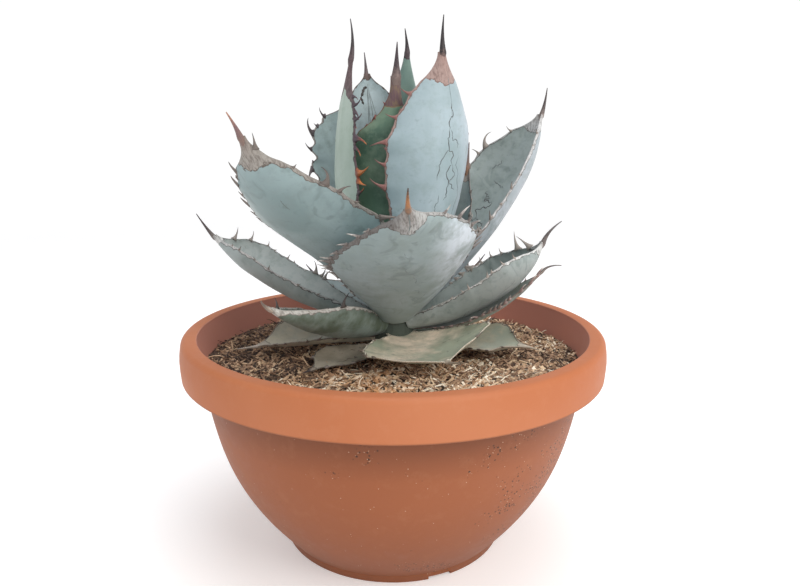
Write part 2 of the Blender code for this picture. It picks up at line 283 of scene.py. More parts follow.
def mouldedPolypropylene():
    # moulded matte polypropylene in a terracotta colour: soft and even, with soil specks and grit
    p = potSet
    material, tree, shader = newMaterial("mouldedPolypropylene", {"IOR": 1.49, "Specular IOR Level": 0.3})
    place = addNode(tree, "ShaderNodeTexCoord").outputs["Object"]
    xyz = addNode(tree, "ShaderNodeSeparateXYZ", {0: place}).outputs
    flat = addNode(tree, "ShaderNodeVectorMath", {0: place, 1: (1, 1, 0)}, operation="MULTIPLY").outputs[0]
    radius = addNode(tree, "ShaderNodeVectorMath", {0: flat}, operation="LENGTH").outputs["Value"]
    clouds = addNode(tree, "ShaderNodeTexNoise", {"Vector": place, "Scale": 7.0, "Detail": 3.0}).outputs[0]
    colour = layTint(tree, toLinear(p["clay"]), clouds, 0.35, 0.7, 1.0, p["clayPale"])
    # painted shade: the bowl is darker than the band, deepest in the band's painted shadow close under it
    # and low down
    begin, full = p["shadeBelowBand"]
    bowlShadeShare = addNode(tree, "ShaderNodeMapRange", {0: xyz[2], 1: begin, 2: full, 4: 0.85}).outputs[0]
    colour = addNode(tree, "ShaderNodeMix", {0: bowlShadeShare, 6: colour, 7: toLinear(p["clayShaded"])},
                     data_type="RGBA").outputs[2]
    # painted shadow of the band close under it, and painted shade low down
    begin, full = p["bandShadowRange"]
    near = addNode(tree, "ShaderNodeMapRange", {0: xyz[2], 1: begin, 2: full, 4: 0.72}).outputs[0]
    begin, full = p["lowDown"]
    low = addNode(tree, "ShaderNodeMapRange", {0: xyz[2], 1: begin, 2: full, 4: 0.32}).outputs[0]
    deepShadeShare = addNode(tree, "ShaderNodeMath", {0: near, 1: low}, operation="MAXIMUM").outputs[0]
    deepShadeShare = addNode(tree, "ShaderNodeMath", {0: deepShadeShare, 1: bowlShadeShare}, operation="MULTIPLY").outputs[0]
    colour = addNode(tree, "ShaderNodeMix", {0: deepShadeShare, 6: colour, 7: toLinear(p["clayDeepShade"])},
                     data_type="RGBA").outputs[2]
    # the inner face of the rim is paler and pinker
    begin, full = p["insideRadius"]
    inner = addNode(tree, "ShaderNodeMapRange", {0: radius, 1: begin, 2: full}).outputs[0]
    begin, full = p["aboveBowl"]
    above = addNode(tree, "ShaderNodeMapRange", {0: xyz[2], 1: begin, 2: full, 4: 0.85}).outputs[0]
    inner = addNode(tree, "ShaderNodeMath", {0: inner, 1: above}, operation="MULTIPLY").outputs[0]
    colour = addNode(tree, "ShaderNodeMix", {0: inner, 6: colour, 7: toLinear(p["inside"])},
                     data_type="RGBA").outputs[2]
    dust = addNode(tree, "ShaderNodeTexNoise", {
        "Vector": place, "Scale": 60.0, "Detail": 8.0, "Roughness": 0.7}).outputs[0]
    colour = layTint(tree, colour, dust, 0.52, 0.8, 0.1, p["dust"])
    # soil specks 1 mm across and pale grit, in patches under the band and low on the right
    patches = addNode(tree, "ShaderNodeTexNoise", {
        "Vector": place, "Scale": 24.0, "Detail": 5.0, "Roughness": 0.7}).outputs[0]
    lowRight = addNode(tree, "ShaderNodeMapRange", {
        0: xyz[0], 1: -0.02, 2: 0.14, 3: -0.02, 4: 0.145}).outputs[0]
    patches = addNode(tree, "ShaderNodeMath", {0: patches, 1: lowRight}, operation="ADD").outputs[0]
    patches = addNode(tree, "ShaderNodeMapRange", {0: patches, 1: 0.6, 2: 0.66}).outputs[0]
    begin, full = p["specksBelow"]
    belowBand = addNode(tree, "ShaderNodeMapRange", {0: xyz[2], 1: begin, 2: full}).outputs[0]
    dirty = addNode(tree, "ShaderNodeMath", {0: patches, 1: belowBand}, operation="MULTIPLY").outputs[0]
    for (scale, edge, full, tint), share in zip(p["specks"], (dirty, dirty, belowBand)):
        cells = addNode(tree, "ShaderNodeTexVoronoi", {"Vector": place, "Scale": scale}).outputs["Distance"]
        speck = addNode(tree, "ShaderNodeMapRange", {0: cells, 1: edge, 2: full}).outputs[0]
        speck = addNode(tree, "ShaderNodeMath", {0: speck, 1: share}, operation="MULTIPLY").outputs[0]
        colour = addNode(tree, "ShaderNodeMix", {0: speck, 6: colour, 7: toLinear(p[tint])},
                         data_type="RGBA").outputs[2]
    tree.links.new(colour, shader.inputs["Base Color"])
    roughness = addNode(tree, "ShaderNodeMapRange", {0: dust, 1: 0.3, 2: 0.7, 3: 0.48, 4: 0.62})
    tree.links.new(roughness.outputs[0], shader.inputs["Roughness"])
    # spark-eroded mould grain, about 1 mm
    grain = addNode(tree, "ShaderNodeTexNoise", {"Vector": place, "Scale": 900.0, "Detail": 2.0}).outputs[0]
    bump = addNode(tree, "ShaderNodeBump", {"Strength": 0.1, "Distance": 0.0005, "Height": grain})
    tree.links.new(bump.outputs[0], shader.inputs["Normal"])
    return material


pot = makePot()
pot.data.materials.clear()
pot.data.materials.append(mouldedPolypropylene())
joinFrame(pot, "pot")
print("pot:", len(pot.data.polygons), "faces")

# the soil: a damp bed with loose bark on it

soilSet = dict(
    # millimetres; chips and the like are scattered by the square metre, their tilt in degrees
    rings=70, spokes=180,
    edgeHeight=180.5, moundHeight=183.5, moundRadius=120.0, gap=0.3,
    lump=1.6,
    bedColour="#665647", bedDark="#2A201A",
    chips=dict(density=18000.0, smallest=0.7, largest=1.8, tilt=28.0, seed=3),
    slivers=dict(density=40000.0, smallest=0.9, largest=2.4, tilt=34.0, seed=7),
    crumbs=dict(density=70000.0, smallest=0.6, largest=1.7, tilt=180.0, seed=11),
    fibres=dict(density=26000.0, smallest=0.6, largest=1.6, tilt=50.0, seed=29),
    # where each tone of the bark stands, from dark to pale, and its tint
    tones=((0.05, "#463730"), (0.35, "#8D7059"), (0.65, "#C09F82"), (0.9, "#E4C8A4"), (1.0, "#FFF5E0")),
    orange="#DD9E60", orangePlace=(-0.02, -0.15, 0.182),  # the redder chips, brightened at the front as painted light, in metres
)


def soilHeight(x, y):
    # millimetres above the foot, with loose lumps
    radius = np.hypot(x, y)
    share = np.clip((radius - 0.35 * soilSet["moundRadius"]) / (0.65 * soilSet["moundRadius"]), 0, 1)
    drop = (soilSet["moundHeight"] - soilSet["edgeHeight"]) * np.sin(0.5 * np.pi * share) ** 2
    waves = np.sin(x / 9.0 + 1.3) * np.sin(y / 11.0 + 0.4) + 0.6 * np.sin(x / 4.1 - y / 5.3 + 2.0)
    waves = waves + 0.5 * np.sin(x / 2.3 + y / 3.1) * np.sin(y / 2.7 - x / 6.0)
    edge = np.clip((176.0 - radius) / 8.0, 0, 1)
    return soilSet["moundHeight"] - drop - 1.6 + 0.45 * soilSet["lump"] * waves * edge


def ringPlaces(radius, count, height):
    # one ring round the pot's axis; height is a number or soilHeight
    places = []
    for j in range(count):
        turn = 2 * math.pi * j / count
        x, y = radius * math.cos(turn), radius * math.sin(turn)
        places.append((x, y, float(height(x, y)) if callable(height) else height))
    return places


def makeSoilBed():
    s = soilSet
    low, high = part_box("soil")
    edgeRadius = high.x / mm
    places = [(0.0, 0.0, float(soilHeight(0.0, 0.0)))]
    for i in range(1, s["rings"] + 1):
        places += ringPlaces(edgeRadius * i / s["rings"], s["spokes"], soilHeight)
    sides = [(r, z) for r, z in bowlWall(potSet["wall"] + s["gap"], 12) if z < s["edgeHeight"] - 6.0]
    sides += [(potSet["footRadius"] - potSet["wall"] - s["gap"], low.z / mm)]
    for r, z in sides:
        places += ringPlaces(r, s["spokes"], z)
    places.append((0.0, 0.0, low.z / mm))
    n = s["spokes"]
    loops = s["rings"] + len(sides)
    faces = [(0, 1 + j, 1 + (j + 1) % n) for j in range(n)]
    for i in range(loops - 1):
        near, far = 1 + i * n, 1 + (i + 1) * n
        faces += [(near + j, far + j, far + (j + 1) % n, near + (j + 1) % n) for j in range(n)]
    last = 1 + (loops - 1) * n
    faces += [(last + j, len(places) - 1, last + (j + 1) % n) for j in range(n)]
    bed = addMesh("soilBed", places, faces)
    bed.data.shade_smooth()
    return bed


def soilTop():
    # the open top surface that the chips are scattered on, removed afterwards
    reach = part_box("soil")[1].x / mm - 2.0
    rings, n = 40, 120
    places, faces = [], []
    for i in range(rings + 1):
        places += ringPlaces(reach * i / rings, n, lambda x, y: soilHeight(x, y) + 0.3)
    for i in range(rings):
        near, far = i * n, (i + 1) * n
        faces += [(near + j, far + j, far + (j + 1) % n, near + (j + 1) % n) for j in range(n)]
    return addMesh("soilTop", places, faces)


def chipMesh(name, kind):
    # one shape of a few faces, about 5 mm long before it is scaled
    if kind in ("chip", "sliver"):
        thin = 1.5 if kind == "chip" else 0.6
        places = [(-2.9, -0.7, -0.3), (-2.6, 0.9, -0.2), (2.4, -0.9, -0.4), (3.3, 0.5, -0.2),
                  (-2.7, -0.6, 0.25), (-2.8, 0.7, 0.2), (2.7, -0.6, 0.2), (2.6, 0.7, 0.35)]
        places = [(x, y * thin, z) for x, y, z in places]
        faces = [(0, 1, 3, 2), (4, 6, 7, 5), (0, 2, 6, 4), (2, 3, 7, 6), (3, 1, 5, 7), (1, 0, 4, 5)]
    elif kind == "crumb":
        places = [(1.4, 0, 0), (0, 1.1, 0.1), (-1.3, 0.2, 0), (0.1, -1.2, 0), (0.1, 0, 0.9), (0, 0.1, -0.8)]
        faces = [(0, 1, 4), (1, 2, 4), (2, 3, 4), (3, 0, 4), (1, 0, 5), (2, 1, 5), (3, 2, 5), (0, 3, 5)]
    else:
        places, faces = [], []
        for i, (x, z) in enumerate(((-6, -0.5), (-3, 0.5), (0.5, 1.0), (4, 0.6), (7, -0.6))):
            size = (0.25, 0.42, 0.45, 0.36, 0.12)[i]
            for k in range(3):
                turn = 2 * math.pi * k / 3
                bend = 0.5 * math.sin(0.5 * x)
                places.append((x, size * math.cos(turn) + bend, z + size * math.sin(turn)))
        for i in range(4):
            for k in range(3):
                a, b = i * 3 + k, i * 3 + (k + 1) % 3
                faces.append((a, b, b + 3, a + 3))
        faces += [(2, 1, 0), (12, 13, 14)]
    return addMesh(name, places, faces)


def scatterTree():
    tree, given = openGroup("scatterSoil", (
        ("Chip", "Object"), ("Density", "Float"), ("Smallest", "Float"), ("Largest", "Float"),
        ("Tilt", "Float"), ("Seed", "Int"), ("Material", "Material")))
    seed, tilt = given["Seed"], given["Tilt"]
    seedTurn = addNode(tree, "ShaderNodeMath", {0: seed, 1: 7.0}, operation="ADD").outputs[0]
    seedTone = addNode(tree, "ShaderNodeMath", {0: seed, 1: 17.0}, operation="ADD").outputs[0]
    points = addNode(tree, "GeometryNodeDistributePointsOnFaces", {
        "Mesh": given["Geometry"], "Density": given["Density"], "Seed": seed}).outputs["Points"]
    down = addNode(tree, "ShaderNodeMath", {0: tilt, 1: -1.0}, operation="MULTIPLY").outputs[0]
    least = addNode(tree, "ShaderNodeCombineXYZ", {0: down, 1: down, 2: -math.pi}).outputs[0]
    most = addNode(tree, "ShaderNodeCombineXYZ", {0: tilt, 1: tilt, 2: math.pi}).outputs[0]
    turn = addNode(tree, "FunctionNodeRandomValue", {0: least, 1: most, "Seed": seedTurn},
                   data_type="FLOAT_VECTOR").outputs[0]
    size = addNode(tree, "FunctionNodeRandomValue", {
        2: given["Smallest"], 3: given["Largest"], "Seed": seed}, data_type="FLOAT").outputs[1]
    chip = addNode(tree, "GeometryNodeObjectInfo", {"Object": given["Chip"]}).outputs["Geometry"]
    chips = addNode(tree, "GeometryNodeInstanceOnPoints", {
        "Points": points, "Instance": chip, "Rotation": turn, "Scale": size}).outputs[0]
    tone = addNode(tree, "FunctionNodeRandomValue", {2: 0.0, 3: 1.0, "Seed": seedTone},
                   data_type="FLOAT").outputs[1]
    toned = addNode(tree, "GeometryNodeStoreNamedAttribute", {
        "Geometry": chips, "Name": "chipTone", "Value": tone}, data_type="FLOAT", domain="INSTANCE")
    return closeGroup(tree, toned.outputs[0], given["Material"])


def scatterPiece(name, tree, kind, values, material):
    chip = chipMesh(name + "Shape", kind)
    carrier = soilTop()
    modifier = carrier.modifiers.new("scatter", "NODES")
    setInputs(modifier, tree, {"Chip": chip, "Density": values["density"], "Smallest": values["smallest"],
                               "Largest": values["largest"], "Tilt": math.radians(values["tilt"]),
                               "Seed": values["seed"], "Material": material})
    piece = bakeToMesh(carrier, name)
    bpy.data.objects.remove(chip)
    return piece


def barkAndFibre():
    # shredded bark: short split chips from dark brown to pale tan, more orange at the front, partly redder
    # chips and partly painted light
    s = soilSet
    material, tree, shader = newMaterial("shreddedBark", {"Roughness": 0.85})
    place = addNode(tree, "ShaderNodeTexCoord").outputs["Object"]
    xyz = addNode(tree, "ShaderNodeSeparateXYZ", {0: place}).outputs
    # each chip's own tone, then painted light: paler to the front and the right; and in patches about 40 mm
    # across
    tone = addNode(tree, "ShaderNodeAttribute", attribute_name="chipTone").outputs["Fac"]
    patch = addNode(tree, "ShaderNodeTexNoise", {"Vector": place, "Scale": 26.0, "Detail": 2.0}).outputs[0]
    front = addNode(tree, "ShaderNodeMapRange", {0: xyz[1], 1: -0.03, 2: -0.12, 4: 0.34}).outputs[0]
    right = addNode(tree, "ShaderNodeMapRange", {
        0: xyz[0], 1: -0.16, 2: -0.02, 3: -0.26, 4: 0.04}).outputs[0]
    lit = addNode(tree, "ShaderNodeMath", {0: front, 1: right}, operation="ADD").outputs[0]
    patchShift = addNode(tree, "ShaderNodeMapRange", {
        0: patch, 1: 0.3, 2: 0.7, 3: -0.16, 4: 0.16}).outputs[0]
    for shift in (lit, patchShift):
        tone = addNode(tree, "ShaderNodeMath", {0: tone, 1: shift}, operation="ADD").outputs[0]
    ramp = addNode(tree, "ShaderNodeValToRGB", {0: tone})
    stops = ramp.color_ramp.elements
    for i, (at, tint) in enumerate(s["tones"]):
        stop = stops[i] if i < 2 else stops.new(at)
        stop.position = at
        stop.color = toLinear(tint)
    # redder chips near the front, which also serve as painted light there
    middle = addNode(tree, "ShaderNodeVectorMath", {0: place, 1: s["orangePlace"]}, operation="DISTANCE")
    near = addNode(tree, "ShaderNodeMapRange", {
        0: middle.outputs["Value"], 1: 0.13, 2: 0.05, 4: 0.5}).outputs[0]
    bright = addNode(tree, "ShaderNodeMapRange", {0: patch, 1: 0.42, 2: 0.6}).outputs[0]
    orange = addNode(tree, "ShaderNodeMath", {0: near, 1: bright}, operation="MULTIPLY").outputs[0]
    colour = addNode(tree, "ShaderNodeMix", {0: orange, 6: ramp.outputs[0], 7: toLinear(s["orange"])},
                     data_type="RGBA").outputs[2]
    tree.links.new(colour, shader.inputs["Base Color"])
    return material


def dampPeat():
    # damp peat between the chips: dark brown, crumbly
    material, tree, shader = newMaterial("dampPeat", {"Roughness": 0.95})
    place = addNode(tree, "ShaderNodeTexCoord").outputs["Object"]
    crumbs = addNode(tree, "ShaderNodeTexNoise", {"Vector": place, "Scale": 420.0, "Detail": 4.0}).outputs[0]
    colour = layTint(tree, toLinear(soilSet["bedDark"]), crumbs, 0.4, 0.65, 1.0, soilSet["bedColour"])
    tree.links.new(colour, shader.inputs["Base Color"])
    bump = addNode(tree, "ShaderNodeBump", {"Strength": 0.8, "Distance": 0.001, "Height": crumbs})
    tree.links.new(bump.outputs[0], shader.inputs["Normal"])
    return material


soilBed = makeSoilBed()
soilBed.data.materials.append(dampPeat())
joinFrame(soilBed, "soil")
bark = barkAndFibre()
scatter = scatterTree()
for pieceName, kind, setName in (("barkChips", "chip", "chips"), ("barkSlivers", "sliver", "slivers"),
                                 ("soilCrumbs", "crumb", "crumbs"), ("rootFibres", "fibre", "fibres")):
    piece = scatterPiece(pieceName, scatter, kind, soilSet[setName], bark)
    joinFrame(piece, "soil")
    print("soil:", pieceName, len(piece.data.polygons), "faces")

# The growth of each leaf repeats the solid model's: degrees and millimetres, bearing from +X to +Y.
growthUsual = dict(
    start=24, height=200, rise=0, endRise=40, sag=0, swing=0, roll=0, twist=0,
    length=140, width=80, base=0.45, widest=0.55, cup=0.6, thick=10,
    spine=30, spineLift=0, spineSwing=0,
)
plantY = 15.0  # the stem stands this far behind the pot's axis
tipShape = 1.65  # above 1, the margins stay full longer towards the tip
leafGrowth = {
    "leaf_front_middle": dict(
        bearing=-81, start=26, height=224, rise=32, endRise=39, swing=-14, roll=4, twist=14,
        length=191, width=124, base=0.4, cup=0.5, thick=11, spine=34, spineLift=-10,
    ),
    "leaf_left_middle": dict(
        bearing=-123, height=237, rise=48, endRise=64, sag=22, swing=-4, roll=2, twist=12,
        length=226, width=116, base=0.5, widest=0.5, cup=0.45, thick=9,
        spine=20, spineLift=-5, spineSwing=-5,
    ),
    "leaf_right_tall": dict(
        bearing=-40, height=244, rise=68, endRise=96, swing=6, roll=-4, twist=-20,
        length=218, width=104, base=0.3, widest=0.6, cup=0.7, thick=12,
        spineLift=-10,
    ),
    "leaf_left_tall": dict(
        bearing=-167, start=23, height=244, rise=64, endRise=102, sag=-4, twist=12,
        length=216, width=74, base=0.4, widest=0.45, cup=0.2, thick=7,
        spine=38, spineLift=-5, spineSwing=-20,
    ),
    "leaf_left_back": dict(
        bearing=123, height=233, rise=56, endRise=84, swing=-4, roll=-4,
        length=206, width=90, base=0.4, widest=0.7, cup=0.55,
        spine=34, spineLift=5, spineSwing=-5,
    ),
    "leaf_back_tall": dict(
        bearing=124, start=18, height=250, rise=80, endRise=80, swing=-14, roll=2,
        length=200, width=74, widest=0.75, cup=0.8, thick=14, spine=22, spineLift=-5,
    ),
    "leaf_heart_front": dict(
        bearing=-85, start=16, height=251, rise=88, endRise=86, sag=4, swing=2, roll=2, twist=2,
        length=188, width=92, cup=0.85, thick=8, spine=28, spineLift=-5,
    ),
    "leaf_heart_spear": dict(
        bearing=-12, start=13, height=256, rise=88, endRise=92, swing=-22, roll=-22, twist=-16,
        length=206, widest=0.65, cup=2.4, thick=6,
        spine=20, spineLift=-15, spineSwing=-10,
    ),
    "leaf_right_middle": dict(
        bearing=15, height=228, rise=42, endRise=72, sag=4, swing=2, roll=10,
        length=224, width=100, base=0.3, widest=0.7, cup=1.05, thick=11,
        spine=28, spineSwing=10,
    ),
    "leaf_right_low": dict(
        bearing=-8, height=209, rise=10, endRise=72, sag=12, swing=16, roll=2, twist=-12,
        length=152, width=112, base=0.4, widest=0.65, cup=1.15, thick=7,
        spine=28, spineLift=-25, spineSwing=15,
    ),
    "leaf_right_lower": dict(
        bearing=-5, height=201, endRise=52, swing=2, roll=4, twist=-8,
        width=56, base=0.3, widest=0.6, cup=0.5, thick=4,
        spine=18, spineLift=-35,
    ),
    "leaf_left_low": dict(
        bearing=174, height=211, rise=16, endRise=48, sag=8, swing=-2, roll=-2, twist=6,
        length=178, width=82, base=0.25, widest=0.75, cup=1.0,
        spine=28, spineLift=5,
    ),
    "leaf_left_bottom": dict(
        bearing=-136, start=23, height=206, rise=-2, endRise=36, swing=2, roll=22, twist=-20,
        length=132, width=74, base=0.36, widest=0.45, cup=1.2, thick=9,
        spine=22, spineSwing=30,
    ),
    "leaf_left_soil": dict(
        bearing=-166, start=25, height=195, rise=3, endRise=-6, swing=2, roll=-8, twist=2,
        length=108, width=62, base=0.25, widest=0.7, cup=0.7, thick=6,
        spine=20, spineLift=5, spineSwing=5,
    ),
    "leaf_front_left_soil": dict(
        bearing=-130, height=188, endRise=-2,
        length=88, width=56, base=0.25, cup=0.25, thick=4, spine=10,
    ),
    "leaf_front_soil": dict(
        bearing=-65, height=197, rise=-1, endRise=4, swing=-4, twist=12,
        length=92, width=126, base=0.25, widest=0.65, cup=0.45, thick=6,
        spine=14, spineLift=5, spineSwing=30,
    ),
    "leaf_right_soil": dict(
        bearing=-17, height=191, rise=3, endRise=2, swing=-10, roll=4, twist=6,
        length=108, width=68, base=0.3, widest=0.7, cup=0.45, thick=7,
        spine=14, spineSwing=-15,
    ),
    "leaf_back_right_low": dict(
        bearing=54, height=198, rise=4, endRise=28, roll=-8,
        length=144, width=70, cup=0.15, thick=8,
    ),
    "leaf_back_low": dict(
        bearing=63, height=207, sag=-8, roll=-8,
        length=160, width=84, base=0.3, cup=0.35, thick=8,
    ),
    "leaf_back_left_low": dict(bearing=124, height=198, rise=2, endRise=22),
    "leaf_back_right": dict(
        bearing=12, start=16, height=230, rise=44, endRise=86, swing=10, roll=18, twist=26,
        length=142, width=44, cup=0.8, thick=6, spine=32, spineLift=-35, spineSwing=10,
    ),
    "leaf_back_middle": dict(
        bearing=102, height=218, rise=32, endRise=62,
        length=180, width=100, cup=0.8, thick=14,
    ),
}

# Finish of each leaf. Left and right are seen from the stem. Bands, caps and teeth are in
# millimetres. A tooth is (place along the blade, length, lean to the tip, curl to the tip), and
# a fifth number moves its tint towards the root (below 0) or the tip (above 0).
# A scar is (side, from u, from t, to u, to t, jaggedness, radius, darkness).
# A paler tint towards one side of a blade is a painted highlight; the tint of the upper face and the darker
# cork of one side are painted shade.
finishUsual = dict(
    skin="#919E9F", shade="#7F8D8D", bare="#76847F", stain=None, stainScale=32.0, inner=None, sideHighlight=None,
    fleck=0.25, fleckTint="#4E554E", bruise=0.0, bruiseTint="#5F6E69", groove=None,
    cork="#A09A95", corkDark="#4C4542", corkShadeSide=None, bandLeft=1.6, bandRight=1.6,
    cap=10.0, capDepth=0.4, rag=1.0, wave=0.9, ripple=1.5, lobe=1.0,
    spineBase="#8C6A55", spineDark="#3B3030", spineTip=None, hornDark=0.62, spineRadius=2.6,
    tipLength=22.0, tipPower=1.6,
    tooth="#8A827C", toothTip="#4A4240", toothRoot=None, spacing=11.0, small=(2.0, 5.0), slot="leaf_mature",
    teethLeft=[], teethRight=[], scars=[], scarTint="#46423F",
)
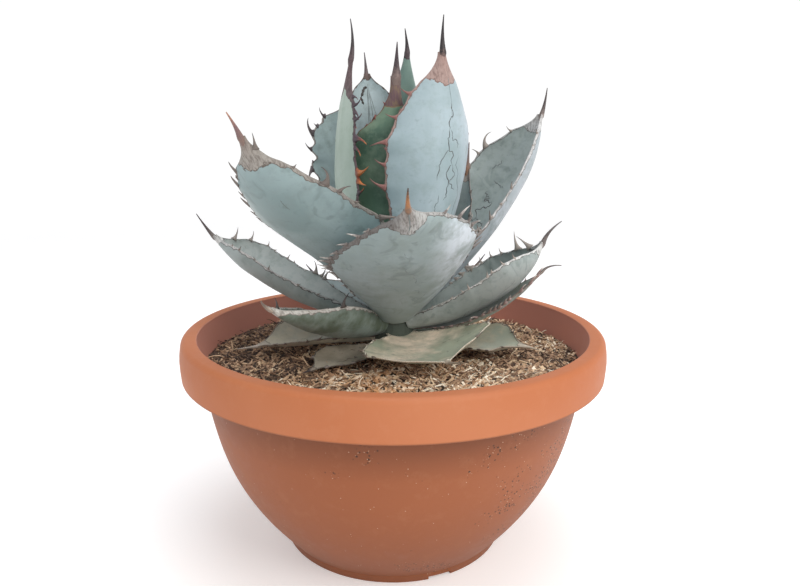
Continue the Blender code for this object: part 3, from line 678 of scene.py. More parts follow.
leafFinish = {
    "leaf_front_middle": dict(
        skin="#9FAFB3", shade="#8C9C9D", bare="#84938E", stain="#8A9A9A", sideHighlight=("#DAE3ED", 10.0, 46.0),
        bruise=0.4,
        cork="#B0B1AF", corkDark="#514B47", corkShadeSide="#757371", bandLeft=2.8, bandRight=4.2, cap=16.0,
        capDepth=0.9, rag=1.8, ripple=0.4,
        spineBase="#6F635B", spineDark="#AC7850", spineTip="#3E322C", spineRadius=2.0, tipLength=20.0,
        tooth="#BDB8B2", toothTip="#A8A29C", toothRoot="#716A66", small=(2.5, 6.0),
        teethLeft=[(0.85, 7, 20, 30), (0.77, 12, 60, -70), (0.7, 8, 30, 60, -0.3),
                   (0.66, 12, 0, -50, -0.3), (0.59, 7, 40, -90, -0.4), (0.55, 12, -20, 60, -0.5),
                   (0.5, 9, -30, 70, -0.5), (0.46, 12, -30, 40, -0.5)],
        teethRight=[(0.81, 9, 20, -30), (0.74, 9, -10, -30), (0.67, 10, -30, -30), (0.61, 11, -30, 20),
                    (0.56, 12, 10, -60), (0.52, 11, -40, 40), (0.48, 10, 0, -50), (0.44, 8, -20, 0)],
        scars=[("out", 0.0, 0.985, -0.02, 0.86, 0.8, 0.5, 0.9),
               ("out", -0.15, 0.62, 0.12, 0.5, 2.0, 0.35, 0.5),
               ("out", 0.05, 0.5, 0.25, 0.42, 3.0, 0.35, 0.5),
               ("out", -0.35, 0.45, -0.1, 0.42, 2.0, 0.35, 0.45),
               ("out", 0.1, 0.38, 0.3, 0.3, 3.0, 0.35, 0.5),
               ("out", 0.3, 0.3, 0.12, 0.22, 2.0, 0.35, 0.45),
               ("out", -0.1, 0.72, 0.0, 0.64, 1.5, 0.3, 0.4)],
    ),
    "leaf_left_middle": dict(
        skin="#96A9AB", shade="#7E9394", bare="#7C8C8B", sideHighlight=("#C3CECD", -28.0, -50.0), bruise=0.35,
        cork="#9D9891", corkDark="#5A504A", bandLeft=3.4, bandRight=0.9, cap=24.0, capDepth=0.15, rag=1.6,
        spineBase="#7A645B", spineDark="#74595A", spineTip="#A5745C", spineRadius=2.3, tipLength=26.0,
        tipPower=1.8,
        tooth="#6E655F", toothTip="#3E3634", spacing=26.0,
        teethLeft=[(0.95, 11, 70, 10), (0.74, 17, 20, 90), (0.69, 9, 30, -60), (0.5, 18, -30, -20),
                   (0.44, 10, -30, -20)],
        teethRight=[(0.87, 9, 30, 80), (0.8, 10, 40, 80), (0.73, 6, 30, 60), (0.67, 10, 30, 80),
                    (0.6, 6, 0, 40), (0.55, 6, 0, 40), (0.5, 9, -30, 60), (0.47, 12, -20, -60),
                    (0.44, 9, -10, 50), (0.4, 9, -20, 50), (0.35, 7, -10, 30)],
        scars=[("out", -0.1, 0.3, 0.12, 0.24, 1.5, 0.4, 0.5),
               ("out", 0.1, 0.75, 0.12, 0.7, 1.0, 0.4, 0.6)],
    ),
    "leaf_right_tall": dict(
        skin="#A6B7BE", shade="#93A6AB", bare="#8A9B9B", sideHighlight=("#C9D5E0", 6.0, 44.0),
        groove=(0.25, 0.05, -0.7),
        cork="#A58E87", corkDark="#76605A", bandLeft=0.8, bandRight=2.0, cap=22.0, capDepth=0.3, rag=1.4,
        ripple=2.4,
        spineBase="#96766E", spineDark="#2B2527", hornDark=0.4, spineRadius=2.8, tipLength=24.0,
        tipPower=1.8,
        tooth="#8A605A", toothTip="#6E4A46", small=(1.5, 3.0),
        teethRight=[(0.84, 10, 10, 40), (0.74, 10, 0, 30), (0.64, 15, 0, -30), (0.54, 10, 0, 40),
                    (0.45, 16, 0, 40)],
        scars=[("out", 0.1, 0.9, 0.12, 0.74, 0.5, 0.3, 0.6), ("out", 0.12, 0.8, 0.06, 0.7, 3.0, 0.5, 1.0),
               ("out", 0.06, 0.7, 0.14, 0.56, 4.5, 0.5, 1.0),
               ("out", 0.14, 0.56, 0.02, 0.42, 4.0, 0.5, 1.0),
               ("out", 0.06, 0.62, -0.16, 0.5, 3.0, 0.4, 0.9),
               ("out", 0.14, 0.56, 0.28, 0.46, 4.0, 0.45, 0.9),
               ("out", 0.1, 0.7, 0.26, 0.63, 3.0, 0.4, 0.9),
               ("out", -0.1, 0.44, -0.2, 0.34, 3.0, 0.35, 0.8),
               ("out", 0.3, 0.6, 0.34, 0.3, 4.0, 0.35, 0.7)],
    ),
    "leaf_left_tall": dict(
        skin="#ACBCB1", shade="#9DAFA2", bare="#92A595", fleck=0.1, groove=(0.1, 0.12, 0.8),
        cork="#705E60", corkDark="#3C3034", bandLeft=3.2, bandRight=0.8, cap=40.0, capDepth=-0.4, rag=1.4,
        spineBase="#5C4A4D", spineDark="#2E282A", spineRadius=2.8, tipLength=36.0, tipPower=1.7,
        tooth="#7C4034", toothTip="#C0713A", toothRoot="#4C3C44", small=(2.0, 4.0),
        teethLeft=[(0.84, 9, 20, -60, -0.5), (0.81, 13, -20, 80, -0.5), (0.78, 11, 0, -70, -0.5),
                   (0.75, 12, -10, 60, -0.5), (0.67, 21, 10, -40), (0.63, 12, 0, -60),
                   (0.53, 21, 0, 30, 0.6), (0.5, 15, -30, 30, 0.6), (0.45, 11, 0, 40)],
        teethRight=[(0.5, 9, 0, 70)],
    ),
    "leaf_left_back": dict(
        skin="#B0C2C0", shade="#98AAAB",
        ripple=2.4, lobe=5.0,
        tooth="#544A4C", toothTip="#332C2E", spacing=60.0,
        teethLeft=[(0.91, 11, 0, 80), (0.82, 17, 10, 110), (0.74, 9, 0, 60), (0.64, 15, -30, -50),
                   (0.55, 11, 0, 50)],
        teethRight=[(0.8, 8, 10, 30), (0.6, 7, 0, 30)],
    ),
    "leaf_back_tall": dict(
        skin="#B6C7CB", shade="#A2B4B9", fleck=0.1,
        cork="#6E5D58", bandLeft=0.7, bandRight=0.7, cap=5.0,
        spineBase="#6A5654", spineDark="#4A4044", spineRadius=2.0, tipLength=14.0,
        small=(1.0, 2.0), slot="leaf_young",
        scars=[("in", -0.05, 0.95, -0.2, 0.55, 0.6, 0.3, 0.7),
               ("in", 0.0, 0.95, -0.08, 0.6, 0.6, 0.3, 0.7), ("in", 0.02, 0.93, 0.05, 0.6, 0.6, 0.3, 0.7),
               ("in", -0.1, 0.9, -0.4, 0.6, 0.6, 0.3, 0.6),
               ("in", 0.06, 0.93, 0.22, 0.935, 0.6, 1.3, 1.0),
               ("in", 0.22, 0.935, 0.34, 0.885, 0.6, 1.4, 1.0),
               ("in", 0.34, 0.885, 0.18, 0.85, 0.6, 1.2, 1.0)],
    ),
    "leaf_heart_front": dict(
        skin="#6A8772", shade="#4C6858", bare="#7C9682", stain="#7F947F",
        cork="#6A5358", corkDark="#857358", bandLeft=1.2, bandRight=1.2, cap=26.0, capDepth=0.0, rag=0.8,
        spineBase="#7E6C66", spineDark="#3C3036", spineRadius=4.0, tipLength=48.0, tipPower=2.6,
        tooth="#7C463C", toothTip="#A8623C", slot="leaf_young",
        teethLeft=[(0.6, 10, 0, -40), (0.45, 9, 0, -30)],
        teethRight=[(0.7, 10, 0, -60), (0.55, 9, 0, 40)],
    ),
    "leaf_heart_spear": dict(
        skin="#6E8880", shade="#5A726A", bare="#80988A", fleck=0.1,
        cork="#3E3234", corkDark="#2A2225", bandLeft=2.0, bandRight=2.0, cap=5.0,
        spineBase="#4A3C40", spineDark="#2B2427", spineRadius=2.2, tipLength=34.0, tipPower=1.5,
        small=(1.0, 2.5), slot="leaf_young",
    ),
    "leaf_right_middle": dict(
        skin="#AFB7BF", shade="#A0AAB0", inner="#A0ACA8", bruise=0.3,
        cork="#CACBCB", corkDark="#57534F", bandRight=3.4, cap=16.0, capDepth=0.2, rag=1.4,
        spineBase="#857872", spineDark="#4A4140", tipLength=20.0,
        tooth="#8E857E", toothTip="#4E4542", spacing=15.0, small=(1.5, 4.0),
        teethLeft=[(0.9, 6, 0, 40), (0.79, 18, 20, 110), (0.74, 8, 30, -40), (0.67, 13, -30, -50),
                   (0.55, 10, -20, 0), (0.48, 13, 20, 20), (0.42, 8, 0, 0)],
        teethRight=[(0.9, 5, 0, 60), (0.62, 7, 0, 60), (0.46, 11, 0, 30), (0.39, 14, -10, 30),
                    (0.33, 11, -10, 40), (0.28, 9, -20, 0)],
        scars=[("in", 0.42, 0.6, 0.15, 0.56, 5.0, 0.55, 1.0),
               ("in", 0.15, 0.56, 0.3, 0.47, 5.0, 0.55, 1.0),
               ("in", 0.3, 0.47, -0.05, 0.42, 5.0, 0.55, 1.0),
               ("in", 0.3, 0.47, 0.55, 0.43, 4.0, 0.5, 0.9), ("in", 0.1, 0.64, 0.4, 0.66, 3.0, 0.4, 0.8),
               ("in", 0.5, 0.76, 0.58, 0.7, 2.0, 0.4, 0.8), ("in", 0.2, 0.38, 0.5, 0.34, 3.0, 0.4, 0.8)],
    ),
    "leaf_right_low": dict(
        skin="#A6AFAF", shade="#959E9C", inner="#9DA7A4", bruise=0.35,
        cork="#D6D8D6", corkDark="#484644", bandLeft=1.8, bandRight=2.6, cap=12.0, capDepth=0.3, rag=1.6,
        spineBase="#7A706C", spineDark="#4E4644", spineRadius=2.8, tipLength=20.0,
        tooth="#A39A92", toothTip="#7E756F", spacing=18.0, small=(1.5, 3.5),
        teethLeft=[(0.93, 17, 20, -10), (0.88, 18, 35, 20), (0.78, 6, 0, 40), (0.7, 6, 0, 40),
                   (0.6, 7, 0, 20), (0.5, 17, -50, 20), (0.46, 11, -30, 20), (0.4, 15, -50, 20),
                   (0.34, 11, -50, 20), (0.28, 8, -40, 0)],
        teethRight=[(0.8, 5, 0, 40), (0.7, 5, 0, 0), (0.55, 5, 20, 0), (0.4, 5, 0, 0)],
        scars=[("out", -0.3, 0.6, -0.2, 0.56, 1.5, 0.4, 0.8),
               ("out", -0.1, 0.5, 0.0, 0.45, 1.5, 0.4, 0.8), ("out", 0.0, 0.62, 0.1, 0.58, 1.5, 0.4, 0.8),
               ("out", -0.35, 0.42, -0.2, 0.4, 1.5, 0.4, 0.8),
               ("out", -0.55, 0.7, -0.45, 0.4, 3.0, 0.35, 0.7),
               ("out", -0.5, 0.35, -0.3, 0.3, 2.0, 0.4, 0.8)],
    ),
    "leaf_right_lower": dict(
        skin="#98A29A", shade="#88928A", bare="#85846F",
        cork="#9A8C82", bandLeft=1.0, bandRight=1.4, cap=5.0,
        spineBase="#8E8680", spineDark="#6A6260", spineRadius=1.4, tipLength=14.0,
        tooth="#A08A86", toothTip="#E0D6CC", slot="leaf_old",
        teethRight=[(0.95, 12, 10, 100), (0.88, 11, 10, 100), (0.8, 10, 0, 90), (0.7, 9, 0, 40),
                    (0.66, 11, 0, 40), (0.62, 11, 0, 40), (0.58, 11, 0, 40), (0.54, 10, 0, 40),
                    (0.49, 9, -20, 80), (0.44, 9, 20, -90), (0.39, 8, -30, 90)],
    ),
    "leaf_left_low": dict(
        skin="#A5B0AF", shade="#949F9E", inner="#969B99", bruise=0.3,
        cork="#CCCDCB", corkDark="#413E3E", bandLeft=2.6, bandRight=1.2, cap=9.0, rag=1.6,
        spineBase="#6E6662", spineRadius=2.4,
        tooth="#847C76", spacing=18.0, small=(1.5, 3.5),
        teethLeft=[(0.8, 5, 0, 0), (0.6, 4, 0, 0)],
        teethRight=[(0.92, 13, 10, 30), (0.85, 10, 0, 40), (0.75, 5, 0, 40), (0.6, 5, 0, 0),
                    (0.4, 14, 0, 50), (0.36, 11, -30, 50), (0.33, 12, 20, -60)],
        scars=[("in", 0.2, 0.85, 0.5, 0.5, 3.0, 0.35, 0.7), ("in", -0.3, 0.6, -0.1, 0.4, 3.0, 0.35, 0.7)],
    ),
    "leaf_left_bottom": dict(
        skin="#9FADA8", shade="#84938B", bare="#56634F", stain="#4C5946", fleck=1.0,
        cork="#D3D2CC", corkDark="#7A736B", bandLeft=3.2, bandRight=2.0, cap=9.0, rag=1.4,
        spineBase="#BBAFA2", spineDark="#9A8E84", spineRadius=2.0,
        tooth="#4E4744", toothTip="#3A3434", spacing=28.0, small=(1.0, 2.0), slot="leaf_old",
        teethLeft=[(0.55, 13, 30, -60)],
        teethRight=[(0.9, 9, 10, 30)],
    ),
    "leaf_left_soil": dict(
        skin="#B2B0A4", shade="#9D9A8D", bare="#8A8573", stain="#BAB19D", fleck=0.6,
        cork="#B5AB9D", bandLeft=1.2, bandRight=1.2, cap=8.0,
        spineBase="#B4AA9E", spineDark="#A2978C", spineRadius=1.8,
        tooth="#7C7068", slot="leaf_dry",
        teethLeft=[(0.6, 7, 0, 20), (0.5, 8, -10, -10)],
    ),
    "leaf_front_left_soil": dict(
        skin="#BEB5A4", shade="#A39A89", bare="#877E6C", stain="#968D7B", fleck=0.8,
        cork="#8F877A", bandLeft=1.0, bandRight=1.0, cap=4.0,
        spineBase="#9C9184", spineRadius=1.8,
        slot="leaf_dry",
        scars=[("in", 0.2, 0.7, 0.4, 0.5, 3.0, 0.7, 1.0), ("in", 0.4, 0.5, 0.2, 0.4, 3.0, 0.7, 1.0)],
    ),
    "leaf_front_soil": dict(
        skin="#A6AD97", shade="#8A917C", bare="#9A9278", stain="#F8E4CE", stainScale=15.0, fleck=0.7,
        cork="#F2EBD8", corkDark="#4F463A", bandLeft=2.2, bandRight=2.4, cap=4.0, rag=1.5,
        spineBase="#C4B9A6", spineDark="#8D8070", spineRadius=2.0, tipLength=12.0,
        tooth="#6E6258", slot="leaf_dry",
        teethLeft=[(0.6, 8, 0, 30), (0.85, 6, 0, 0)],
        teethRight=[(0.72, 8, 40, 60), (0.5, 6, 0, 40), (0.35, 5, 0, 40)],
    ),
    "leaf_right_soil": dict(
        skin="#AEB5A8", shade="#9AA192", bare="#9C9680", stain="#C2B8A0", fleck=0.5,
        cork="#C2B9A9", bandLeft=1.2, bandRight=1.8, cap=6.0,
        spineBase="#C2B8A8", spineDark="#B0A596", spineRadius=1.8,
        tooth="#5E554E", slot="leaf_old",
        teethRight=[(0.75, 6, 0, 60), (0.68, 7, 0, 60), (0.6, 7, 0, 60), (0.52, 6, 0, 50),
                    (0.44, 6, 0, 50)],
    ),
    "leaf_back_right": dict(spineDark="#5A4C4C", small=(3.0, 6.0)),
}

# the leaves: their shapes

bladeSet = dict(
    # millimetres, and shares of the blade's thickness or length
    rows=140, columns=28, reach=7.0, marginThin=0.14, thinnest=1.0, buried=16.0,
    teethFrom=0.14, teethTo=0.88, clearance=6.0,
)
outsideCork = -9.0  # well outside the cork, in millimetres
toothFull = 0.62  # where along a tooth its own colour is full


def smoothStep(values, low, high):
    share = np.clip((values - low) / (high - low), 0, 1)
    return share * share * (3 - 2 * share)


def halfWidth(grow, look, t):
    low = grow["base"] + (1 - grow["base"]) * np.sin(0.5 * np.pi * np.clip(t / grow["widest"], 0, 1))
    high = 1 - np.clip((t - grow["widest"]) / (1 - grow["widest"]), 0, 1) ** tipShape
    width = 0.5 * grow["width"] * np.where(t < grow["widest"], low, high)
    # the last stretch narrows in a hollow curve that runs into the spine
    turn = 1 - look["tipLength"] / grow["length"]
    wide = float(np.interp(turn, t, width))
    root = look["spineRadius"] + 0.5
    hollow = root + (wide - root) * np.clip((1 - t) / (1 - turn), 0, 1) ** look["tipPower"]
    return np.where(t < turn, width, hollow)


def bladeFrame(grow, t):
    # direction along the blade, to its left edge and out of its upper face, for each t
    held = np.clip(t, 0, 1)
    climb = np.radians(grow["rise"] + (grow["endRise"] - grow["rise"]) * held
                       - 4 * grow["sag"] * held * (1 - held))
    heading = np.radians(grow["bearing"] + grow["swing"] * t)
    along = np.stack([np.cos(climb) * np.cos(heading), np.cos(climb) * np.sin(heading), np.sin(climb)], -1)
    side = np.stack([-np.sin(heading), np.cos(heading), 0 * heading], -1)
    up = np.cross(along, side)
    lean = np.radians(grow["roll"] + grow["twist"] * t)[:, None]
    return along, side * np.cos(lean) + up * np.sin(lean), up * np.cos(lean) - side * np.sin(lean)


def midrib(grow, t):
    # millimetres, stepping along the blade's direction from its start
    steps = np.diff(t)
    along = bladeFrame(grow, t[:-1] + 0.5 * steps)[0]
    path = np.concatenate([np.zeros((1, 3)), np.cumsum(along * (steps * grow["length"])[:, None], 0)])
    zero = np.array([np.interp(0.0, t, path[:, k]) for k in range(3)])
    turn = math.radians(grow["bearing"])
    start = grow["start"]
    return path - zero + (start * math.cos(turn), plantY + start * math.sin(turn), grow["height"])


def softNoise(rng, t, waves, amount):
    # a sum of sines with random phases, for margins and relief
    total = np.zeros_like(t)
    for k in range(1, waves + 1):
        phase = 2 * np.pi * k * t * rng.uniform(0.8, 1.2) + rng.uniform(0, 6.28)
        total += np.sin(phase) * rng.uniform(0.4, 1) / k**0.6
    return amount * total


def smallTeeth(rng, grow, look, listed):
    # places and lengths of the small teeth between the listed ones
    teeth = []
    place = bladeSet["teethFrom"]
    while place < bladeSet["teethTo"]:
        if all(abs(place - big[0]) * grow["length"] > bladeSet["clearance"] for big in listed):
            teeth.append((place, rng.uniform(*look["small"]), rng.uniform(-25, 25)))
        place += look["spacing"] * rng.uniform(0.6, 1.3) / grow["length"]
    return teeth


def teats(t, teeth, length, lobe):
    # each tooth stands on a swelling of the margin
    swell = np.zeros_like(t)
    for tooth in teeth:
        reach = (0.3 * tooth[1] + 1.2) / length
        swell += lobe * min(0.2 * tooth[1], 2.4) * np.exp(-0.5 * ((t - tooth[0]) / reach) ** 2)
    return swell


def skinFaces(rows, count):
    # faces of a closed skin over rows of count points, with its two end points stored last
    index = np.arange(rows * count).reshape(rows, count)
    after = np.roll(index, -1, axis=1)
    faces = np.stack([index[:-1], after[:-1], after[1:], index[1:]], -1).reshape(-1, 4).tolist()
    faces += [(rows * count, int(after[0, k]), int(index[0, k])) for k in range(count)]
    faces += [(rows * count + 1, int(index[-1, k]), int(after[-1, k])) for k in range(count)]
    return faces


def tubeArrays(path, wide, tall, across, sides):
    # a closed tapering tube along a path, wide along the across axis and tall square to it
    tangent = np.gradient(path, axis=0)
    tangent /= np.linalg.norm(tangent, axis=1, keepdims=True)
    across = across - (across * tangent).sum(1, keepdims=True) * tangent
    across /= np.linalg.norm(across, axis=1, keepdims=True)
    up = np.cross(tangent, across)
    turn = 2 * np.pi * np.arange(sides) / sides
    ring = (path[:, None] + (wide[:, None] * np.cos(turn))[..., None] * across[:, None]
            + (tall[:, None] * np.sin(turn))[..., None] * up[:, None])
    count = len(path)
    points = np.concatenate([ring.reshape(-1, 3), path[:1], path[-1:] + 0.15 * tangent[-1:]])
    growth = np.concatenate([np.repeat(np.linspace(0, 1, count), sides), [0, 1]])
    return points, skinFaces(count, sides), growth


def bladeArrays(grow, look, rng):
    b = bladeSet
    t = np.linspace(-b["reach"] / grow["length"], 1.0, b["rows"] + 1)
    u = np.sin(0.5 * np.pi * np.linspace(-1, 1, b["columns"] + 1))[None, :]
    along, left, upper = bladeFrame(grow, t)
    middle = midrib(grow, t)
    small = {side: smallTeeth(rng, grow, look, look[side]) for side in ("teethLeft", "teethRight")}
    half = halfWidth(grow, look, t)
    fade = smoothStep(t, 0.0, 0.12) * (1 - smoothStep(t, 0.9, 1.0))
    edges = {}
    for side in ("teethLeft", "teethRight"):
        swell = teats(t, look[side] + small[side], grow["length"], look["lobe"])
        edges[side] = half + fade * (swell - 0.7 + softNoise(rng, t, 9, 0.4))
    share = np.abs(u)
    edge = np.where(u > 0, edges["teethLeft"][:, None], edges["teethRight"][:, None])
    spread = half[:, None] * (1 - share**2) + edge * share**2
    cup = grow["cup"]
    across = spread * np.sin(cup * u) / cup
    lift = spread * (1 - np.cos(cup * u)) / cup
    ripples = [softNoise(rng, t, 8, look["ripple"] * 0.5) for _ in range(2)]
    ripple = np.where(u > 0, ripples[0][:, None], ripples[1][:, None]) * share**4 * fade[:, None]
    swells = softNoise(rng, t, 5, 0.4)[:, None] * np.cos(2.2 * u)
    swells = swells + softNoise(rng, t, 3, 0.4)[:, None] * np.sin(3.1 * u + 1)
    relief = swells * look["wave"] * fade[:, None] * (1 - share**6)
    if look["groove"]:
        at, width, height = look["groove"]
        relief = relief - height * np.exp(-(((u - at) / width) ** 2)) * fade[:, None]
    outward = np.cos(cup * u)[..., None] * upper[:, None] - np.sin(cup * u)[..., None] * left[:, None]
    face = (middle[:, None] + across[..., None] * left[:, None] + lift[..., None] * upper[:, None]
            + (ripple + relief)[..., None] * outward)
    thick = (grow["thick"] * (1 - 0.75 * np.clip(t, 0, 1) ** 1.3))[:, None]
    thick = np.maximum(thick * (1 - (1 - b["marginThin"]) * share**2.2), b["thinnest"])
    under = face - thick[..., None] * outward
    sideways = {side: sign * (math.cos(cup * sign) * left + math.sin(cup * sign) * upper)
                for side, sign in (("teethLeft", 1.0), ("teethRight", -1.0))}
    # millimetres inside the cork of the margins and of the tip's cap; below zero is outside it
    surface = spread * u
    widen = (0.55 + 0.75 * np.clip(t, 0, 1) ** 2)[:, None]
    toLeft = edges["teethLeft"][:, None] - surface
    toRight = edges["teethRight"][:, None] + surface
    cork = np.maximum(look["bandLeft"] * widen - toLeft, look["bandRight"] * widen - toRight)
    capEdge = look["cap"] * (1 + look["capDepth"] * (1 - share) ** 1.5)
    cap = capEdge - (1 - t)[:, None] * grow["length"]
    place = np.stack([surface, t[:, None] * grow["length"] + 0 * u], -1)
    rims = {}
    for side, column in (("teethLeft", -1), ("teethRight", 0)):
        rims[side] = 0.5 * (face[:, column] + under[:, column]) + sideways[side] * 0.5 * thick[:, [column]]
    leftRim, rightRim = rims["teethLeft"][:, None], rims["teethRight"][:, None]
    ring = np.concatenate([face, leftRim, under[:, ::-1], rightRim], 1)
    ones = np.ones((len(t), 1))
    corkRing = np.concatenate([cork, ones, cork[:, ::-1], ones], 1)
    capRing = np.concatenate([cap, cap[:, -1:], cap[:, ::-1], cap[:, :1]], 1)
    upperRing = np.concatenate([np.ones_like(cork), ones * 0.5, np.zeros_like(cork), ones * 0.5], 1)
    placeRing = np.concatenate([place, place[:, -1:], place[:, ::-1], place[:, :1]], 1)
    rows, n = ring.shape[:2]
    points = np.concatenate([ring.reshape(-1, 3), [ring[0].mean(0), ring[-1].mean(0)]])
    leafPlace = np.concatenate([placeRing.reshape(-1, 2), [[0, 0], [0, grow["length"]]]])
    leafPlace = np.concatenate([leafPlace * mm, np.append(upperRing.reshape(-1), [0.5, 0.5])[:, None]], 1)
    ends = [outsideCork, 1.0]
    return dict(points=points, faces=skinFaces(rows, n), leafPlace=leafPlace,
                cork=np.append(corkRing.reshape(-1), ends), cap=np.append(capRing.reshape(-1), ends),
                t=t, middle=middle, along=along, left=left, upper=upper, outward=outward,
                rims=rims, sideways=sideways, small=small, sides={"in": face, "out": under})


def rowOf(blade, t):
    return float(np.interp(t, blade["t"], np.arange(len(blade["t"]))))


def toothArrays(blade, side, tooth):
    # one large tooth: a claw that leaves the margin with a lean and curls on
    t, length, lean, curl = tooth[:4]
    tint = tooth[4] if len(tooth) > 4 else 0.0
    row = int(round(rowOf(blade, t)))
    out, along = blade["sideways"][side][row], blade["along"][row]
    steps = 11
    angles = np.radians(lean + curl * np.linspace(0, 1, steps))
    moves = (np.cos(angles)[:, None] * out + np.sin(angles)[:, None] * along) * (length + 1.5) / (steps - 1)
    path = blade["rims"][side][row] - 1.5 * out + np.cumsum(moves, 0) - moves[0]
    s = np.linspace(0, 1, steps)
    wide = (0.12 * length + 0.5) * (0.62 * (1 - s) ** 1.05 + 1.1 * (1 - s) ** 5) + 0.16
    tall = (0.08 * length + 0.45) * (1 - s) ** 0.9 + 0.14
    column = 0 if side == "teethRight" else -1
    across = np.cross(np.gradient(path, axis=0), blade["outward"][row, column])
    points, faces, growth = tubeArrays(path, wide, tall, across, 7)
    return points, faces, growth + tint


def spineArrays(grow, look, blade):
    # the end spine: its root runs down inside the blade's tip and flares
    b = bladeSet
    lift, swing = math.radians(grow["spineLift"]), math.radians(grow["spineSwing"])
    along, left, upper = blade["along"][-1], blade["left"][-1], blade["upper"][-1]
    aim = along * math.cos(lift) + upper * math.sin(lift)
    aim = aim * math.cos(swing) + left * math.sin(swing)
    halfThick = 0.5 * max(0.25 * grow["thick"], b["thinnest"])
    end = blade["middle"][-1] - halfThick * upper
    rows = np.linspace(rowOf(blade, 1 - b["buried"] / grow["length"]), len(blade["t"]) - 1, 9)[:-1]
    inside = []
    for row in rows:
        k = int(round(row))
        drop = 0.5 * grow["thick"] * (1 - 0.75 * blade["t"][k] ** 1.3)
        inside.append(blade["middle"][k] - drop * blade["upper"][k])
    s = np.linspace(0, 1, 15)[:, None]
    tip = end + aim * (grow["spine"] - 0.2)
    bend = end + along * (0.4 * grow["spine"])
    outside = (1 - s) ** 2 * end + 2 * s * (1 - s) * bend + s * s * tip
    path = np.concatenate([np.array(inside), outside])
    radius = look["spineRadius"]
    flare = np.linspace(0.1, 1, 8)
    taper = 1 - s[:, 0]
    taper = 0.72 * taper + 0.28 * taper**3
    wide = radius * np.concatenate([flare, taper]) + 0.42
    tall = 0.8 * radius * np.concatenate([flare**3, taper]) + 0.4
    return tubeArrays(path, wide, tall, np.repeat(left[None], len(path), 0), 12)


def scarArrays(grow, blade, rng, scar):
    # a healed crack: a jagged raised line on one side of the blade
    side, u0, t0, u1, t1, jag, radius, dark = scar
    half = 0.5 * grow["width"]
    line = [np.array((u0 * half, t0 * grow["length"])), np.array((u1 * half, t1 * grow["length"]))]
    for level in range(4):
        finer = [line[0]]
        for first, last in zip(line[:-1], line[1:]):
            normal = np.array((last[1] - first[1], first[0] - last[0]))
            normal /= np.linalg.norm(normal) + 1e-6
            finer += [0.5 * (first + last) + normal * rng.normal(0, jag * 0.6**level), last]
        line = finer
    rows = np.array([rowOf(blade, p[1] / grow["length"]) for p in line])
    count = bladeSet["columns"]
    stations = np.sin(0.5 * np.pi * np.linspace(-1, 1, count + 1))
    columns = np.array([np.interp(p[0] / half, stations, np.arange(count + 1)) for p in line])
    grid = blade["sides"][side]
    row = np.minimum(rows.astype(int), len(blade["t"]) - 2)
    column = np.minimum(columns.astype(int), count - 1)
    a, c = (rows - row)[:, None], (columns - column)[:, None]
    path = ((1 - a) * (1 - c) * grid[row, column] + a * (1 - c) * grid[row + 1, column]
            + (1 - a) * c * grid[row, column + 1] + a * c * grid[row + 1, column + 1])
    normal = blade["outward"][row, column]
    across = np.cross(np.gradient(path, axis=0), normal)
    s = np.linspace(0, 1, len(path))
    size = radius * np.minimum(1, 6 * np.minimum(s, 1 - s) + 0.25) * (1 + 0.25 * np.sin(19 * s))
    points, faces, growth = tubeArrays(path, size, size * 0.5, across, 5)
    return points, faces, growth, dark


def claw():
    # one small tooth, 1 long: a curved prickle with a broad foot
    s = np.linspace(0, 1, 6)
    path = np.stack([-0.2 + 1.15 * s, 0.35 * s**2, 0 * s], 1)
    wide = 0.3 * (1 - s) ** 1.1 + 0.35 * (1 - s) ** 5 + 0.03
    points, faces, growth = tubeArrays(path, wide, wide * 0.55, np.tile((0.0, 1.0, 0.0), (6, 1)), 6)
    item = addMesh("claw", points.tolist(), faces, unit=1.0)
    storeValues(item.data, "grow", growth)
    return item


def toothTree():
    tree, given = openGroup("marginTeeth", (
        ("Tooth", "Object"), ("Stoutness", "Float"), ("Material", "Material")))
    stored = {}
    for name, kind in (("aim", "FLOAT_VECTOR"), ("flat", "FLOAT_VECTOR"), ("size", "FLOAT")):
        named = addNode(tree, "GeometryNodeInputNamedAttribute", {"Name": name}, data_type=kind)
        stored[name] = named.outputs[0]
    turned = addNode(tree, "FunctionNodeAlignRotationToVector", {"Vector": stored["aim"]},
                     axis="X").outputs[0]
    turned = addNode(tree, "FunctionNodeAlignRotationToVector", {
        "Rotation": turned, "Vector": stored["flat"]}, axis="Z", pivot_axis="X").outputs[0]
    wide = addNode(tree, "ShaderNodeMath", {0: stored["size"], 1: given["Stoutness"]},
                   operation="MULTIPLY").outputs[0]
    scale = addNode(tree, "ShaderNodeCombineXYZ", {0: stored["size"], 1: wide, 2: wide}).outputs[0]
    tooth = addNode(tree, "GeometryNodeObjectInfo", {"Object": given["Tooth"]}).outputs["Geometry"]
    teeth = addNode(tree, "GeometryNodeInstanceOnPoints", {
        "Points": given["Geometry"], "Instance": tooth, "Rotation": turned, "Scale": scale}).outputs[0]
    return closeGroup(tree, teeth, given["Material"])


